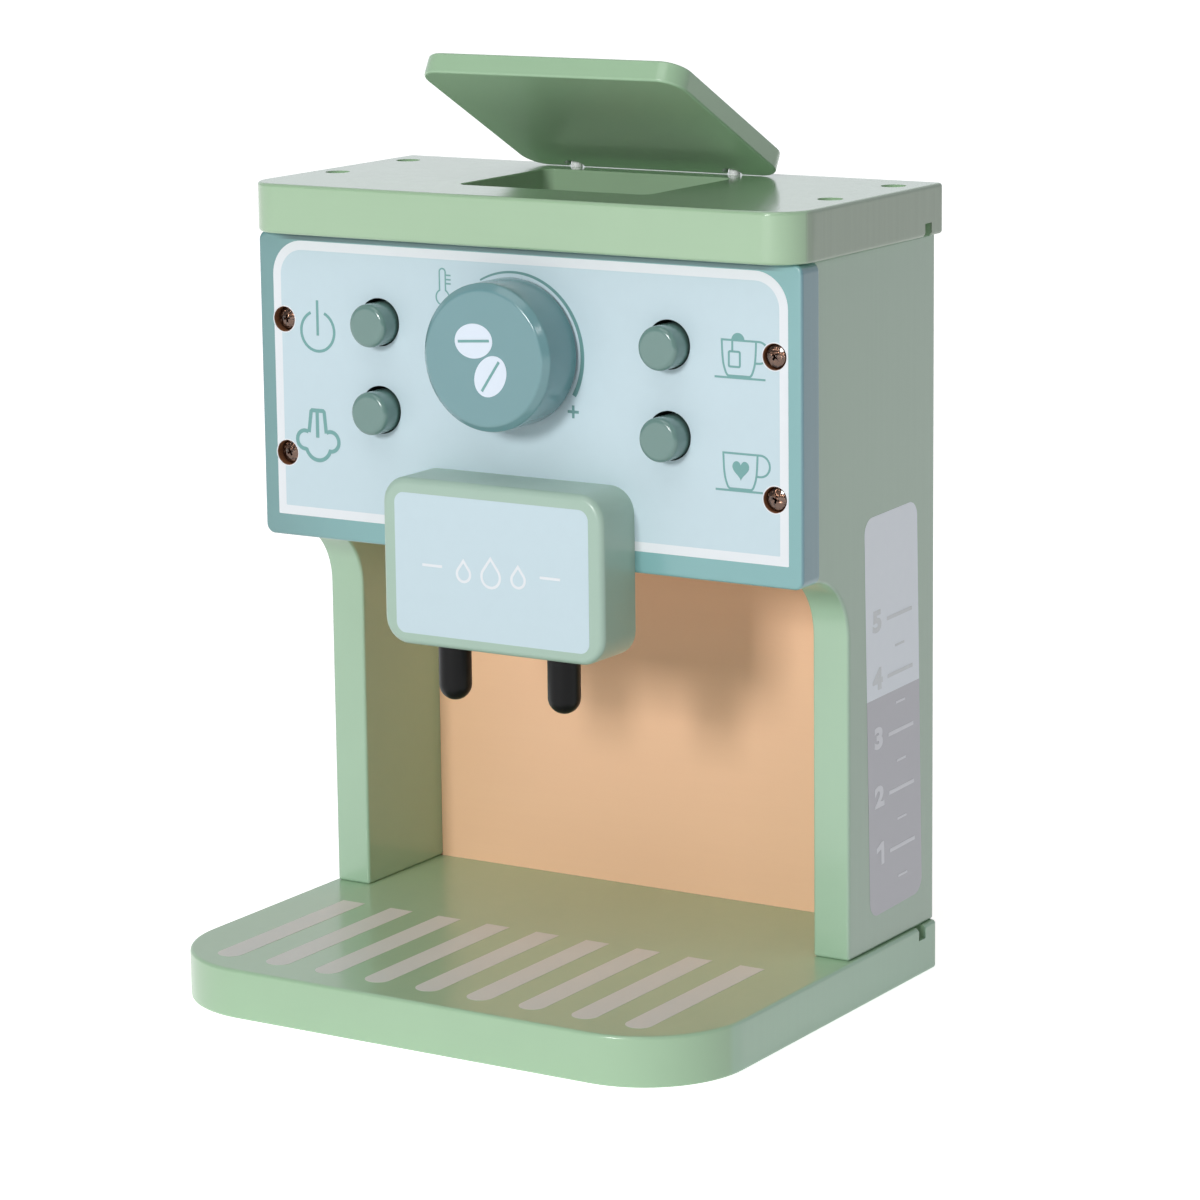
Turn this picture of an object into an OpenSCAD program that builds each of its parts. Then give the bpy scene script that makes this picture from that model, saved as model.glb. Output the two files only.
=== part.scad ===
// Toy coffee maker in painted wood: two sides on a base board, a control panel with a
// turning knob and four sprung buttons, a brew head with two spouts and a hinged lid.
// Millimetres, +Z up, front towards -Y. The origin is on the table, under the middle
// of the base board.

/* [Body] */
// Width across the outer faces of the two sides
body_width = 184; // [160:1:220]
// Height of the side boards between base and top board
side_height = 210; // [190:1:260]
// Thickness of a side board
side_thickness = 12; // [10:0.5:16]
// Depth of the sides behind the control panel
side_depth = 74; // [70:1:90]
// How far the legs of the sides stand back from the control panel
leg_setback = 20.5; // [10:0.5:26]

/* [Base board] */
// How far the base board shows beyond each side
base_margin = 1.5; // [0.5:0.5:6]
// Depth of the base board, front to back
base_depth = 150; // [130:1:180]
// Thickness of the base board
base_thickness = 15; // [12:0.5:20]
// Radius of the base board's front corners
base_corner = 32; // [6:1:45]

/* [Top board] */
// How far the top board shows beyond each side
top_margin = 3; // [0.5:0.5:8]
// How far the top board stands out in front of the control panel
top_overhang = 6; // [2:0.5:14]
// Thickness of the top board
top_thickness = 15; // [12:0.5:20]
// Radius of the top board's front corners
top_corner = 11.5; // [3:0.5:20]
// Radius of the small rear corners of base and top board
rear_corner = 2; // [1:0.5:5]
// Width of the opening for the coffee discs
opening_width = 66; // [62:1:80]
// Depth of the opening for the coffee discs
opening_depth = 50; // [44:1:54]
// Strip of board left behind the opening
opening_rear = 17; // [14:0.5:20]
// Corner radius of the opening
opening_corner = 3.5; // [1:0.5:6]

/* [Lid] */
// Overlap of the lid beside the opening
lid_side_lap = 12; // [9:0.25:16]
// Overlap of the lid in front of the opening
lid_front_lap = 10; // [5:0.5:14]
// Thickness of the lid
lid_thickness = 6.5; // [6:0.25:9]
// Corner radius of the lid
lid_corner = 7.5; // [4:0.5:12]
// Rounding of the lid's edges
lid_edge = 0.8; // [0.6:0.1:1.4]
// How far the lid is open in the rest pose, in degrees
lid_open = 28; // [0:1:95]
// Gap under the closed lid
lid_gap = 0.3; // [0.2:0.05:0.6]
// Hinge axis behind the opening
hinge_setback = 9.5; // [8.5:0.25:10.5]
// Lid left behind the hinge axis
lid_tail = 1.8; // [1.6:0.1:2]
// Distance between the two hinge posts
hinge_spacing = 56; // [48:1:60]
// Diameter of a hinge post
post_diameter = 3.3; // [3:0.1:3.6]
// Diameter of the pin across the hinge
hinge_pin_diameter = 1.6; // [1.2:0.1:1.8]

/* [Back panel] */
// Thickness of the back panel
back_thickness = 4; // [3:0.5:6]
// Back panel's rear face in from the rear of the body
back_inset = 8; // [5:0.5:10]
// Depth of the grooves that hold the back panel
groove_depth = 4; // [2:0.5:5]

/* [Control panel] */
// How far the control panel shows beyond each side
panel_margin = 2; // [0.5:0.5:2.5]
// Height of the control panel
panel_height = 93; // [90:1:110]
// Thickness of the control panel
panel_thickness = 10; // [8:0.5:12]
// Corner radius of the control panel
panel_corner = 3; // [1:0.5:6]

/* [Buttons] */
// Distance between the two columns of buttons
button_spacing = 100.4; // [96:0.2:110]
// How far the upper buttons lie below the top board
upper_button_drop = 25.7; // [20:0.1:28]
// How far the lower buttons lie below the top board
lower_button_drop = 52.1; // [48:0.1:56]
// Diameter of a button
button_diameter = 13; // [11:0.5:15]
// Rounding of a button's rim
button_edge = 1.4; // [0.5:0.1:2.5]
// Gap around a button in its hole
button_gap = 0.7; // [0.3:0.05:0.9]
// How far a button stands out of the panel
button_stand = 6.9; // [5:0.1:9]
// How far a button can be pressed in
button_travel = 4; // [2:0.5:4.5]
// Diameter of the collar that keeps a button in
collar_diameter = 17; // [16.8:0.1:18]
// Thickness of the collar
collar_thickness = 3; // [2:0.5:4]
// Diameter of the stem behind a button
stem_diameter = 6; // [4:0.5:7]
// Wire of the button spring
spring_wire = 0.9; // [0.6:0.1:1]
// Turns of the button spring
spring_turns = 5; // [3:1:6]
// Width of a button bracket
bracket_width = 20; // [18.5:0.5:24]
// Thickness of a bracket's web and feet
bracket_web = 5; // [4:0.5:7]
// Height of each foot of a bracket
bracket_foot = 8; // [7.5:0.5:9]

/* [Knob] */
// Diameter of the knob
knob_diameter = 43.6; // [30:0.2:50]
// Thickness of the knob
knob_thickness = 16.4; // [14:0.2:24]
// Rounding of the knob's front rim
knob_edge = 2; // [0.5:0.5:4]
// Sideways place of the knob on the panel
knob_x = -2; // [-6:0.5:6]
// How far the knob's middle lies below the top board
knob_drop = 30.7; // [27:0.1:34]
// Diameter of the shaft
shaft_diameter = 10; // [8:0.5:12]
// How deep the shaft is let into the knob
shaft_socket = 10; // [6:0.5:12]

/* [Brew head] */
// Width of the brew head
head_width = 76.4; // [60:0.2:90]
// Height of the brew head
head_height = 50.2; // [47:0.2:54]
// Depth of the brew head
head_depth = 18; // [15:0.5:26]
// How far the brew head hangs below the control panel
head_drop = 24.9; // [18:0.1:26]
// Corner radius of the brew head
head_corner = 8; // [4:0.5:12]
// Rounding of the brew head's front edges
head_edge = 2; // [1:0.5:3.5]
// Diameter of a spout
spout_diameter = 9.8; // [8:0.1:13]
// Length of spout below the brew head
spout_length = 17.2; // [10:0.1:26]
// How deep a spout is let into the brew head
spout_socket = 12; // [8:0.5:16]
// Distance between the spouts
spout_spacing = 38.2; // [24:0.2:48]

/* [Coffee chamber] */
// Thickness of the chamber floor
shelf_thickness = 8; // [7:0.5:9]
// Diameter of the dowels that hold the chamber floor
dowel_diameter = 4; // [3:0.5:5]
// Length of a dowel in the floor, and as much again less a little in the side
dowel_hold = 8; // [6:0.5:9]

/* [Screws] */
// Diameter of a screw head
screw_head = 6.2; // [5.5:0.1:7.4]
// Height of a screw head
screw_head_height = 2.2; // [1.8:0.1:2.6]
// Diameter of a screw's shank
screw_shank = 3; // [2.4:0.1:3.4]
// Length of a long screw under its head
screw_length = 26; // [22:1:32]
// Length of a short screw under its head
short_screw_length = 18; // [16:1:22]
// How far the upper panel screws lie below the top board
upper_screw_drop = 26.5; // [14:0.5:34]
// How far the lower panel screws lie below the top board
lower_screw_drop = 67.4; // [50:0.1:76]
// Panel screws in from the outer face of the sides
panel_screw_inset = 7; // [5:0.5:8]
// Diameter of the counterbores over the panel screws
panel_bore = 7.7; // [7.2:0.1:8.4]
// How far the heads of the panel screws lie below the panel's front
panel_screw_sink = 1.6; // [0.8:0.1:2.4]
// Diameter of the plugs over the top screws
plug_diameter = 7.4; // [7.2:0.1:9]
// How deep the plugs lie below the surface
plug_recess = 1.2; // [0.5:0.1:2]
// Thickness of a plug
plug_thickness = 3; // [2:0.5:4]

/* [Hidden] */
$fn = 64;

// Clearances shared by all pieces
fit = 0.05;        // radial play of a running shaft, pin or dowel in its hole
rest_gap = 0.1;    // between faces of pieces that move apart
slide_gap = 0.3;   // between curved or sliding pieces
cut = 1;           // how far a cutting tool reaches past a face
soft_fn = 32;      // facets of shapes that are hulled

// Levels and planes
rear_y = base_depth / 2;
panel_back = rear_y - side_depth;
panel_front = panel_back - panel_thickness;
top_front = panel_front - top_overhang;
leg_front = panel_back + leg_setback;
top_z = base_thickness + side_height;
surface_z = top_z + top_thickness;
panel_z = top_z - panel_height;
side_x = body_width / 2 - side_thickness / 2;
inner_x = body_width / 2 - side_thickness;
back_rear = rear_y - back_inset;
back_front = back_rear - back_thickness;

// Opening, lid and hinge
opening_back = rear_y - opening_rear;
opening_front = opening_back - opening_depth;
hinge_y = opening_back + hinge_setback;
hinge_z = surface_z + lid_gap + lid_thickness / 2;
lid_width = opening_width + 2 * lid_side_lap;
lid_front = opening_front - lid_front_lap;
lid_rear = hinge_y + lid_tail;
post_radius = post_diameter / 2;
slot_radius = post_radius + slide_gap;
sight_radius = post_radius + 1.5;    // shallow pocket in the lid's underside round a post
sight_depth = 2;
pin_hold = 8;                        // length of pin on the inner side of a post
post_depth = top_thickness - groove_depth - 1;

// Screws
screw_hole = screw_shank / 2 + 0.3;
screw_pilot = screw_shank / 2 + fit;
screw_seat = screw_head / 2 + slide_gap;
panel_screw_x = body_width / 2 - panel_screw_inset;
panel_screw_z = [top_z - lower_screw_drop, top_z - upper_screw_drop];
panel_bore_radius = max(panel_bore / 2, screw_seat);
panel_bore_depth = panel_screw_sink + screw_head_height;
rear_screw_margin = 3;               // screw's axis in front of the back panel
front_screw_margin = 11.5;           // screw's axis behind the front of a leg
rear_screw_y = back_front - rear_screw_margin;
top_screw_y = [panel_back + side_depth * 0.28, rear_screw_y];
base_screw_y = [leg_front + front_screw_margin, rear_screw_y];
head_sink = 5;                       // depth of a counterbore under the base
tip_length = 3;
tip_diameter = 0.6;
crown_height = 1.2;                  // rounded part of a pan head
plug_gap = 0.6;                      // between a screw head and its plug
plug_bore = plug_recess + plug_thickness + screw_head_height + plug_gap;

// Knob
knob_z = top_z - knob_drop;
spacer_thickness = 0.5;
spacer_lap = 4;
knob_back = panel_front - spacer_thickness - rest_gap;
washer_thickness = 1.5;
washer_lap = 6;
washer_diameter = shaft_diameter + 2 * washer_lap;
knob_screw_length = 14;
knob_bevel = 0.6;                    // on the knob's rear rim

// Buttons
collar_front = panel_back + rest_gap;
spring_front = collar_front + collar_thickness;
spring_slack = 2.5;                  // left in the spring when a button is pressed in
spring_room = button_travel + spring_turns * spring_wire + spring_slack;
web_front = spring_front + spring_room;
web_back = web_front + bracket_web;
stem_tail = 2;                       // stem behind its bracket
stem_end = web_back + stem_tail;
spring_radius = stem_diameter / 2 + spring_wire / 2 + slide_gap;
upper_button_z = top_z - upper_button_drop;
lower_button_z = top_z - lower_button_drop;
sag_share = 0.55;                    // share of its gap by which a button hangs low in its hole
hole_rise = sag_share * button_gap;
collar_room = 1.2;                   // between a collar and a bracket's foot
bracket_room = collar_diameter / 2 + collar_room;
bracket_low = lower_button_z - bracket_room - bracket_foot;
bracket_high = upper_button_z + bracket_room + bracket_foot;
bracket_depth = web_back - panel_back;
bracket_screw_z = [bracket_low + bracket_foot / 2, bracket_high - bracket_foot / 2];
panel_skin = 3;                      // wood left in front of a bracket screw
bracket_screw_bite = panel_thickness - panel_skin;

// Brew head
head_z = panel_z - head_drop;
head_front = panel_front - head_depth;
spout_y = panel_front - head_depth / 2;

// Chamber floor
shelf_rise = 1;                      // chamber floor above the panel's lower edge
floor_z = panel_z + shelf_rise;
head_screw_x = head_width / 4;
head_screw_room = 2;                 // between the screw heads and the chamber floor
head_screw_z = floor_z + shelf_thickness + screw_head / 2 + head_screw_room;
dowel_inset = 13;                    // dowels in from the front and rear of the floor
dowel_y = [panel_back + dowel_inset, back_front - dowel_inset];

// Colours
green = "#a9cdb0";
teal = "#7fb4b5";
knob_green = "#6f9c9f";
button_green = "#6f918a";
mint = "#b4d1c6";
peach = "#f0c79c";
steel = "#b8b8b8";
bronze = "#7b553c";
white = "#f2f2f2";
black = "#1e1e1e";

// ---- Shared shapes ----

// A rectangle from a corner, with a radius on each of its four corners
// corners = [left front, right front, right rear, left rear]
module plate_outline(width, depth, corners) {
  difference() {
    square([width, depth]);
    for (i = [0 : 3]) {
      radius = corners[i];
      right = i == 1 || i == 2;
      rear = i >= 2;
      translate([right ? width : 0, rear ? depth : 0])
        mirror([right ? 1 : 0, 0])
          mirror([0, rear ? 1 : 0])
            difference() {
              translate([-cut, -cut]) square(radius + cut);
              translate([radius, radius]) circle(radius);
            }
    }
  }
}

// A flat board, lying, centred in X, from y0 backwards, bottom at z0
module board(width, y0, depth, z0, thickness, front_radius, back_radius) {
  translate([-width / 2, y0, z0])
    linear_extrude(thickness)
      plate_outline(width, depth, [front_radius, front_radius, back_radius, back_radius]);
}

// Points of a quarter round, from its outer side to its top, for a turned profile
function round_rim(radius, top, edge, steps = 6) =
  [for (i = [0 : steps]) [
    radius - edge * (1 - cos(90 * i / steps)),
    top - edge * (1 - sin(90 * i / steps))]];

// A round column along Z whose upper rim is rounded, and the lower one too if low_edge is set
module soft_puck(radius, height, low_edge, high_edge) {
  rotate_extrude($fn = soft_fn)
    polygon(concat(
      [[0, 0], [radius - low_edge, 0]],
      [for (a = [15 : 15 : 90]) [
        radius - low_edge * (1 - sin(a)),
        low_edge * (1 - cos(a))]],
      round_rim(radius, height, high_edge),
      [[0, height]]));
}

// A block with round corners and softened rims, centred in X and Y
module soft_block(width, depth, height, corner, low_edge, high_edge) {
  hull()
    for (x = [-1, 1], y = [-1, 1])
      translate([x * (width / 2 - corner), y * (depth / 2 - corner), 0])
        soft_puck(corner, height, low_edge, high_edge);
}

// Lays a Z-up shape so that its foot is at y0 and its top points to the front
module facing_front(x, y0, z) {
  translate([x, y0, z]) rotate([90, 0, 0]) children();
}

// The same, with its top pointing to the rear
module facing_rear(x, y0, z) {
  translate([x, y0, z]) rotate([-90, 0, 0]) children();
}

// Pan-head wood screw: head above z = 0, shank below
module wood_screw(length) {
  rotate_extrude()
    polygon(concat(
      [[0, 0], [screw_head / 2, 0]],
      [for (a = [0 : 15 : 75]) [
        screw_head / 2 - crown_height * (1 - cos(a)),
        screw_head_height - crown_height * (1 - sin(a))]],
      [[0, screw_head_height]]));
  translate([0, 0, tip_length - length]) cylinder(d = screw_shank, h = length - tip_length);
  translate([0, 0, -length]) cylinder(d1 = tip_diameter, d2 = screw_shank, h = tip_length);
}

// ---- Case ----

module panel_groove_cut(z0, z1, half_width) {
  translate([-half_width, back_front - rest_gap, z0])
    cube([2 * half_width, back_thickness + 2 * rest_gap, z1 - z0]);
}

module base_board() {
  width = body_width + 2 * base_margin;
  color(green)
    difference() {
      board(width, rear_y - base_depth, base_depth, 0, base_thickness, base_corner, rear_corner);
      panel_groove_cut(base_thickness - groove_depth, base_thickness + cut, width / 2 + cut);
      for (x = [-side_x, side_x], y = base_screw_y)
        translate([x, y, 0]) {
          translate([0, 0, -cut]) cylinder(r = screw_seat, h = head_sink + cut);
          translate([0, 0, -cut]) cylinder(r = screw_hole, h = base_thickness + 2 * cut);
        }
    }
}

// Outline of a side, seen from the right: Y across, Z up, with the concave front curve
module side_outline() {
  difference() {
    translate([panel_back, base_thickness]) square([side_depth, side_height]);
    translate([panel_back - cut, base_thickness - cut])
      square([leg_setback + cut, panel_z - leg_setback - base_thickness + cut]);
    intersection() {
      translate([panel_back, panel_z - leg_setback]) circle(leg_setback);
      translate([panel_back - cut, panel_z - leg_setback - cut])
        square(leg_setback + 2 * cut);
    }
  }
}

// The right side; the left one is its mirror image
module side_board() {
  difference() {
    translate([inner_x, 0, 0])
      rotate([90, 0, 90])
        linear_extrude(side_thickness) side_outline();
    // groove for the back panel
    translate([inner_x - cut, back_front - rest_gap, base_thickness - cut])
      cube([groove_depth + cut, back_thickness + 2 * rest_gap, side_height + 2 * cut]);
    // pilot holes: base screws, top screws, panel screws and floor dowels
    for (y = base_screw_y)
      translate([side_x, y, base_thickness - cut])
        cylinder(r = screw_pilot, h = screw_length - (base_thickness - head_sink) + 2 * cut);
    for (y = top_screw_y)
      translate([side_x, y, surface_z - plug_bore - screw_length - cut])
        cylinder(r = screw_pilot, h = screw_length + cut);
    for (z = panel_screw_z)
      facing_rear(panel_screw_x, panel_back - cut, z)
        cylinder(r = screw_pilot, h = screw_length + panel_bore_depth - panel_thickness + 2 * cut);
    for (y = dowel_y)
      translate([inner_x - cut, y, floor_z + shelf_thickness / 2])
        rotate([0, 90, 0])
          cylinder(d = dowel_diameter + 2 * fit, h = dowel_hold + cut);
  }
}

module right_side() {
  color(green) side_board();
}

module left_side() {
  color(green) mirror([1, 0, 0]) side_board();
}

module back_panel() {
  width = 2 * (inner_x + groove_depth - rest_gap);
  low = base_thickness - groove_depth;
  color(peach)
    translate([-width / 2, back_front, low])
      cube([width, back_thickness, side_height + 2 * groove_depth - rest_gap]);
}

module top_board() {
  width = body_width + 2 * top_margin;
  color(green)
    difference() {
      board(width, top_front, rear_y - top_front, top_z, top_thickness, top_corner, rear_corner);
      board(opening_width, opening_front, opening_depth, top_z - cut, top_thickness + 2 * cut,
            opening_corner, opening_corner);
      panel_groove_cut(top_z - cut, top_z + groove_depth, width / 2 + cut);
      for (x = [-side_x, side_x], y = top_screw_y) {
        translate([x, y, surface_z - plug_bore])
          cylinder(d = plug_diameter + 2 * fit, h = plug_bore + cut);
        translate([x, y, top_z - cut]) cylinder(r = screw_hole, h = top_thickness);
      }
      for (x = [-1, 1])
        translate([x * hinge_spacing / 2, hinge_y, surface_z - post_depth])
          cylinder(r = post_radius + fit / 2, h = post_depth + cut);
    }
}

// Floor of the chamber that the coffee discs drop into
module chamber_floor() {
  width = 2 * inner_x;
  color(peach)
    difference() {
      translate([-inner_x, panel_back + rest_gap, floor_z])
        cube([width, back_front - panel_back - 2 * rest_gap, shelf_thickness]);
      for (x = [-1, 1], y = dowel_y)
        translate([x * inner_x, y, floor_z + shelf_thickness / 2])
          rotate([0, -90 * x, 0])
            translate([0, 0, -cut])
              cylinder(d = dowel_diameter + 2 * fit, h = dowel_hold + cut);
    }
}

module floor_dowels() {
  end_gap = 0.5;
  color(peach)
    for (x = [-1, 1], y = dowel_y)
      translate([x * (inner_x - dowel_hold + end_gap), y, floor_z + shelf_thickness / 2])
        rotate([0, 90 * x, 0])
          cylinder(d = dowel_diameter, h = 2 * (dowel_hold - end_gap));
}

// ---- Lid and hinge ----

// Turns what is drawn with the lid closed to where the lid rests
module lid_pose() {
  translate([0, hinge_y, hinge_z])
    rotate([-lid_open, 0, 0])
      translate([0, -hinge_y, -hinge_z])
        children();
}

// Room that a hinge post needs in the lid, from closed to fully open
module hinge_slot(x) {
  translate([x - slot_radius, hinge_y - slot_radius, surface_z - cut])
    cube([2 * slot_radius, slot_radius + lid_tail + cut, hinge_z + slot_radius - surface_z + cut]);
  translate([x, hinge_y, surface_z - cut])
    cylinder(r = sight_radius, h = lid_gap + sight_depth + cut);
}

module lid() {
  length = lid_rear - lid_front;
  low = surface_z + lid_gap;
  pin_hole = hinge_pin_diameter / 2 + fit / 2;
  color(green)
    lid_pose()
      difference() {
        translate([0, (lid_front + lid_rear) / 2, low])
          soft_block(lid_width, length, lid_thickness, lid_corner, lid_edge, lid_edge);
        for (x = [-1, 1]) {
          hinge_slot(x * hinge_spacing / 2);
          translate([x * (hinge_spacing / 2 - pin_hold), hinge_y, hinge_z])
            rotate([0, 90 * x, 0])
              cylinder(r = pin_hole, h = lid_width / 2);
        }
      }
}

// White post in the top board, with an eye for the pin at its rounded end
module hinge_post(x) {
  color(white)
    difference() {
      translate([x, hinge_y, surface_z - post_depth]) {
        cylinder(r = post_radius, h = hinge_z - surface_z + post_depth);
        translate([0, 0, hinge_z - surface_z + post_depth]) sphere(post_radius);
      }
      translate([x - post_diameter, hinge_y, hinge_z])
        rotate([0, 90, 0])
          cylinder(r = hinge_pin_diameter / 2 + fit, h = 2 * post_diameter);
    }
}

module left_hinge_post() {
  hinge_post(-hinge_spacing / 2);
}

module right_hinge_post() {
  hinge_post(hinge_spacing / 2);
}

// Steel pin through the post's eye, pressed into the lid from its side edge
module hinge_pin(side) {
  start = hinge_spacing / 2 - pin_hold + rest_gap;
  end = lid_width / 2 - lid_corner + lid_edge;
  color(steel)
    lid_pose()
      translate([side * start, hinge_y, hinge_z])
        rotate([0, 90 * side, 0])
          cylinder(d = hinge_pin_diameter, h = end - start);
}

module left_hinge_pin() {
  hinge_pin(-1);
}

module right_hinge_pin() {
  hinge_pin(1);
}

// ---- Control panel ----

module control_panel() {
  width = body_width + 2 * panel_margin;
  color(teal)
    difference() {
      translate([-width / 2, panel_back, panel_z])
        rotate([90, 0, 0])
          linear_extrude(panel_thickness)
            plate_outline(width, panel_height,
                          [panel_corner, panel_corner, panel_corner, panel_corner]);
      for (x = [-1, 1], z = [lower_button_z, upper_button_z])
        facing_rear(x * button_spacing / 2, panel_front - cut, z + hole_rise)
          cylinder(r = button_diameter / 2 + button_gap, h = panel_thickness + 2 * cut);
      facing_rear(knob_x, panel_front - cut, knob_z)
        cylinder(r = shaft_diameter / 2 + fit, h = panel_thickness + 2 * cut);
      for (x = [-1, 1], z = panel_screw_z)
        facing_rear(x * panel_screw_x, panel_front - cut, z) {
          cylinder(r = screw_hole, h = panel_thickness + 2 * cut);
          cylinder(r = panel_bore_radius, h = panel_bore_depth + cut);
        }
      for (x = [-1, 1])
        facing_rear(x * head_screw_x, panel_front - cut, head_screw_z)
          cylinder(r = screw_hole, h = panel_thickness + 2 * cut);
      for (x = [-1, 1], z = bracket_screw_z)
        facing_rear(x * button_spacing / 2, panel_back - bracket_screw_bite - cut, z)
          cylinder(r = screw_pilot, h = bracket_screw_bite + 2 * cut);
    }
}

module panel_screws() {
  color(bronze)
    for (x = [-1, 1], z = panel_screw_z)
      facing_front(x * panel_screw_x, panel_front + panel_bore_depth, z) wood_screw(screw_length);
}

// ---- Buttons ----

// Turned button: cap through the panel, collar behind it and a stem for the spring
module push_button(x, z) {
  cap_front = panel_front - button_stand;
  color(button_green)
    translate([x, stem_end, z])
      rotate([90, 0, 0])
        rotate_extrude()
          polygon(concat(
            [[0, 0], [stem_diameter / 2, 0],
             [stem_diameter / 2, stem_end - spring_front],
             [collar_diameter / 2, stem_end - spring_front],
             [collar_diameter / 2, stem_end - collar_front],
             [button_diameter / 2, stem_end - collar_front]],
            round_rim(button_diameter / 2, stem_end - cap_front, button_edge),
            [[0, stem_end - cap_front]]));
}

module power_button() {
  push_button(-button_spacing / 2, upper_button_z);
}

module steam_button() {
  push_button(-button_spacing / 2, lower_button_z);
}

module tea_button() {
  push_button(button_spacing / 2, upper_button_z);
}

module coffee_button() {
  push_button(button_spacing / 2, lower_button_z);
}

// Point k of ring i of the spring wire, around a helix along Z
function coil_point(i, k, rings, sides, length) =
  let (turn = 360 * spring_turns * i / rings,
       side = 360 * k / sides,
       reach = spring_radius + spring_wire / 2 * cos(side),
       rise = spring_wire / 2 + (length - spring_wire) * i / rings)
  [reach * cos(turn), reach * sin(turn), rise + spring_wire / 2 * sin(side)];

// Open coil spring along Z, from z = 0 to its length
module coil_spring(length) {
  sides = 6;
  rings = 14 * spring_turns;
  points = [for (i = [0 : rings], k = [0 : sides - 1]) coil_point(i, k, rings, sides, length)];
  wall = [for (i = [0 : rings - 1], k = [0 : sides - 1])
    [i * sides + k, i * sides + (k + 1) % sides,
     (i + 1) * sides + (k + 1) % sides, (i + 1) * sides + k]];
  ends = [[for (k = [sides - 1 : -1 : 0]) k],
          [for (k = [0 : sides - 1]) rings * sides + k]];
  polyhedron(points = points, faces = concat(wall, ends), convexity = 8);
}

module button_spring(x, z) {
  color(steel)
    facing_rear(x, spring_front + rest_gap, z) coil_spring(spring_room - 2 * rest_gap);
}

module power_spring() {
  button_spring(-button_spacing / 2, upper_button_z);
}

module steam_spring() {
  button_spring(-button_spacing / 2, lower_button_z);
}

module tea_spring() {
  button_spring(button_spacing / 2, upper_button_z);
}

module coffee_spring() {
  button_spring(button_spacing / 2, lower_button_z);
}

// Wooden U that guides the stems of one column of buttons and backs their springs
module button_bracket(x) {
  tall = bracket_high - bracket_low;
  color(peach)
    difference() {
      translate([x - bracket_width / 2, panel_back, bracket_low])
        cube([bracket_width, bracket_depth, tall]);
      translate([x - bracket_width / 2 - cut, panel_back - cut, bracket_low + bracket_foot])
        cube([bracket_width + 2 * cut, web_front - panel_back + cut, tall - 2 * bracket_foot]);
      for (z = [lower_button_z, upper_button_z])
        facing_rear(x, web_front - cut, z)
          cylinder(r = stem_diameter / 2 + fit, h = bracket_web + 2 * cut);
      for (z = bracket_screw_z)
        facing_rear(x, panel_back - cut, z)
          cylinder(r = screw_hole, h = bracket_depth + 2 * cut);
    }
}

module left_bracket() {
  button_bracket(-button_spacing / 2);
}

module right_bracket() {
  button_bracket(button_spacing / 2);
}

module bracket_screws() {
  color(steel)
    for (x = [-1, 1], z = bracket_screw_z)
      facing_rear(x * button_spacing / 2, web_back, z)
        wood_screw(bracket_depth + bracket_screw_bite);
}

// ---- Knob ----

module knob() {
  radius = knob_diameter / 2;
  color(knob_green)
    facing_front(knob_x, knob_back, knob_z)
      difference() {
        rotate_extrude($fn = 96)
          polygon(concat(
            [[0, 0], [radius - knob_bevel, 0], [radius, knob_bevel]],
            round_rim(radius, knob_thickness, knob_edge, 8),
            [[0, knob_thickness]]));
        translate([0, 0, -cut])
          cylinder(r = shaft_diameter / 2 + fit, h = shaft_socket + cut);
      }
}

module knob_shaft() {
  front = knob_back - shaft_socket + rest_gap;
  rear = panel_back + rest_gap;
  color(peach)
    difference() {
      facing_rear(knob_x, front, knob_z) cylinder(d = shaft_diameter, h = rear - front);
      facing_front(knob_x, rear + cut, knob_z)
        cylinder(r = screw_pilot, h = knob_screw_length - washer_thickness + 2 * cut);
    }
}

// Thin plastic ring that keeps the knob off the printed panel
module knob_spacer() {
  color(white)
    facing_front(knob_x, panel_front, knob_z)
      difference() {
        cylinder(d = shaft_diameter + 2 * spacer_lap, h = spacer_thickness);
        translate([0, 0, -cut])
          cylinder(r = shaft_diameter / 2 + slide_gap, h = spacer_thickness + 2 * cut);
      }
}

module knob_washer() {
  color(steel)
    facing_rear(knob_x, panel_back + rest_gap, knob_z)
      difference() {
        cylinder(d = washer_diameter, h = washer_thickness);
        translate([0, 0, -cut]) cylinder(r = screw_hole, h = washer_thickness + 2 * cut);
      }
}

module knob_screw() {
  color(steel)
    facing_rear(knob_x, panel_back + rest_gap + washer_thickness, knob_z)
      wood_screw(knob_screw_length);
}

// ---- Brew head ----

module brew_head() {
  color(mint)
    difference() {
      facing_front(0, panel_front, head_z + head_height / 2)
        soft_block(head_width, head_height, head_depth, head_corner, 0, head_edge);
      for (x = [-1, 1]) {
        translate([x * spout_spacing / 2, spout_y, head_z - cut])
          cylinder(d = spout_diameter + 2 * fit, h = spout_socket + cut);
        facing_front(x * head_screw_x, panel_front + cut, head_screw_z)
          cylinder(r = screw_pilot, h = short_screw_length - panel_thickness + 2 * cut);
      }
    }
}

module spout(x) {
  radius = spout_diameter / 2;
  color(black)
    translate([x, spout_y, head_z - spout_length]) {
      translate([0, 0, radius])
        cylinder(r = radius, h = spout_length + spout_socket - radius - rest_gap);
      translate([0, 0, radius]) sphere(radius);
    }
}

module left_spout() {
  spout(-spout_spacing / 2);
}

module right_spout() {
  spout(spout_spacing / 2);
}

module brew_head_screws() {
  color(steel)
    for (x = [-1, 1])
      facing_rear(x * head_screw_x, panel_back, head_screw_z) wood_screw(short_screw_length);
}

// ---- Case screws and plugs ----

module top_screws() {
  color(steel)
    for (x = [-side_x, side_x], y = top_screw_y)
      translate([x, y, surface_z - plug_bore]) wood_screw(screw_length);
}

module top_plugs() {
  color(green)
    for (x = [-side_x, side_x], y = top_screw_y)
      translate([x, y, surface_z - plug_recess - plug_thickness])
        cylinder(d = plug_diameter, h = plug_thickness);
}

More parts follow.
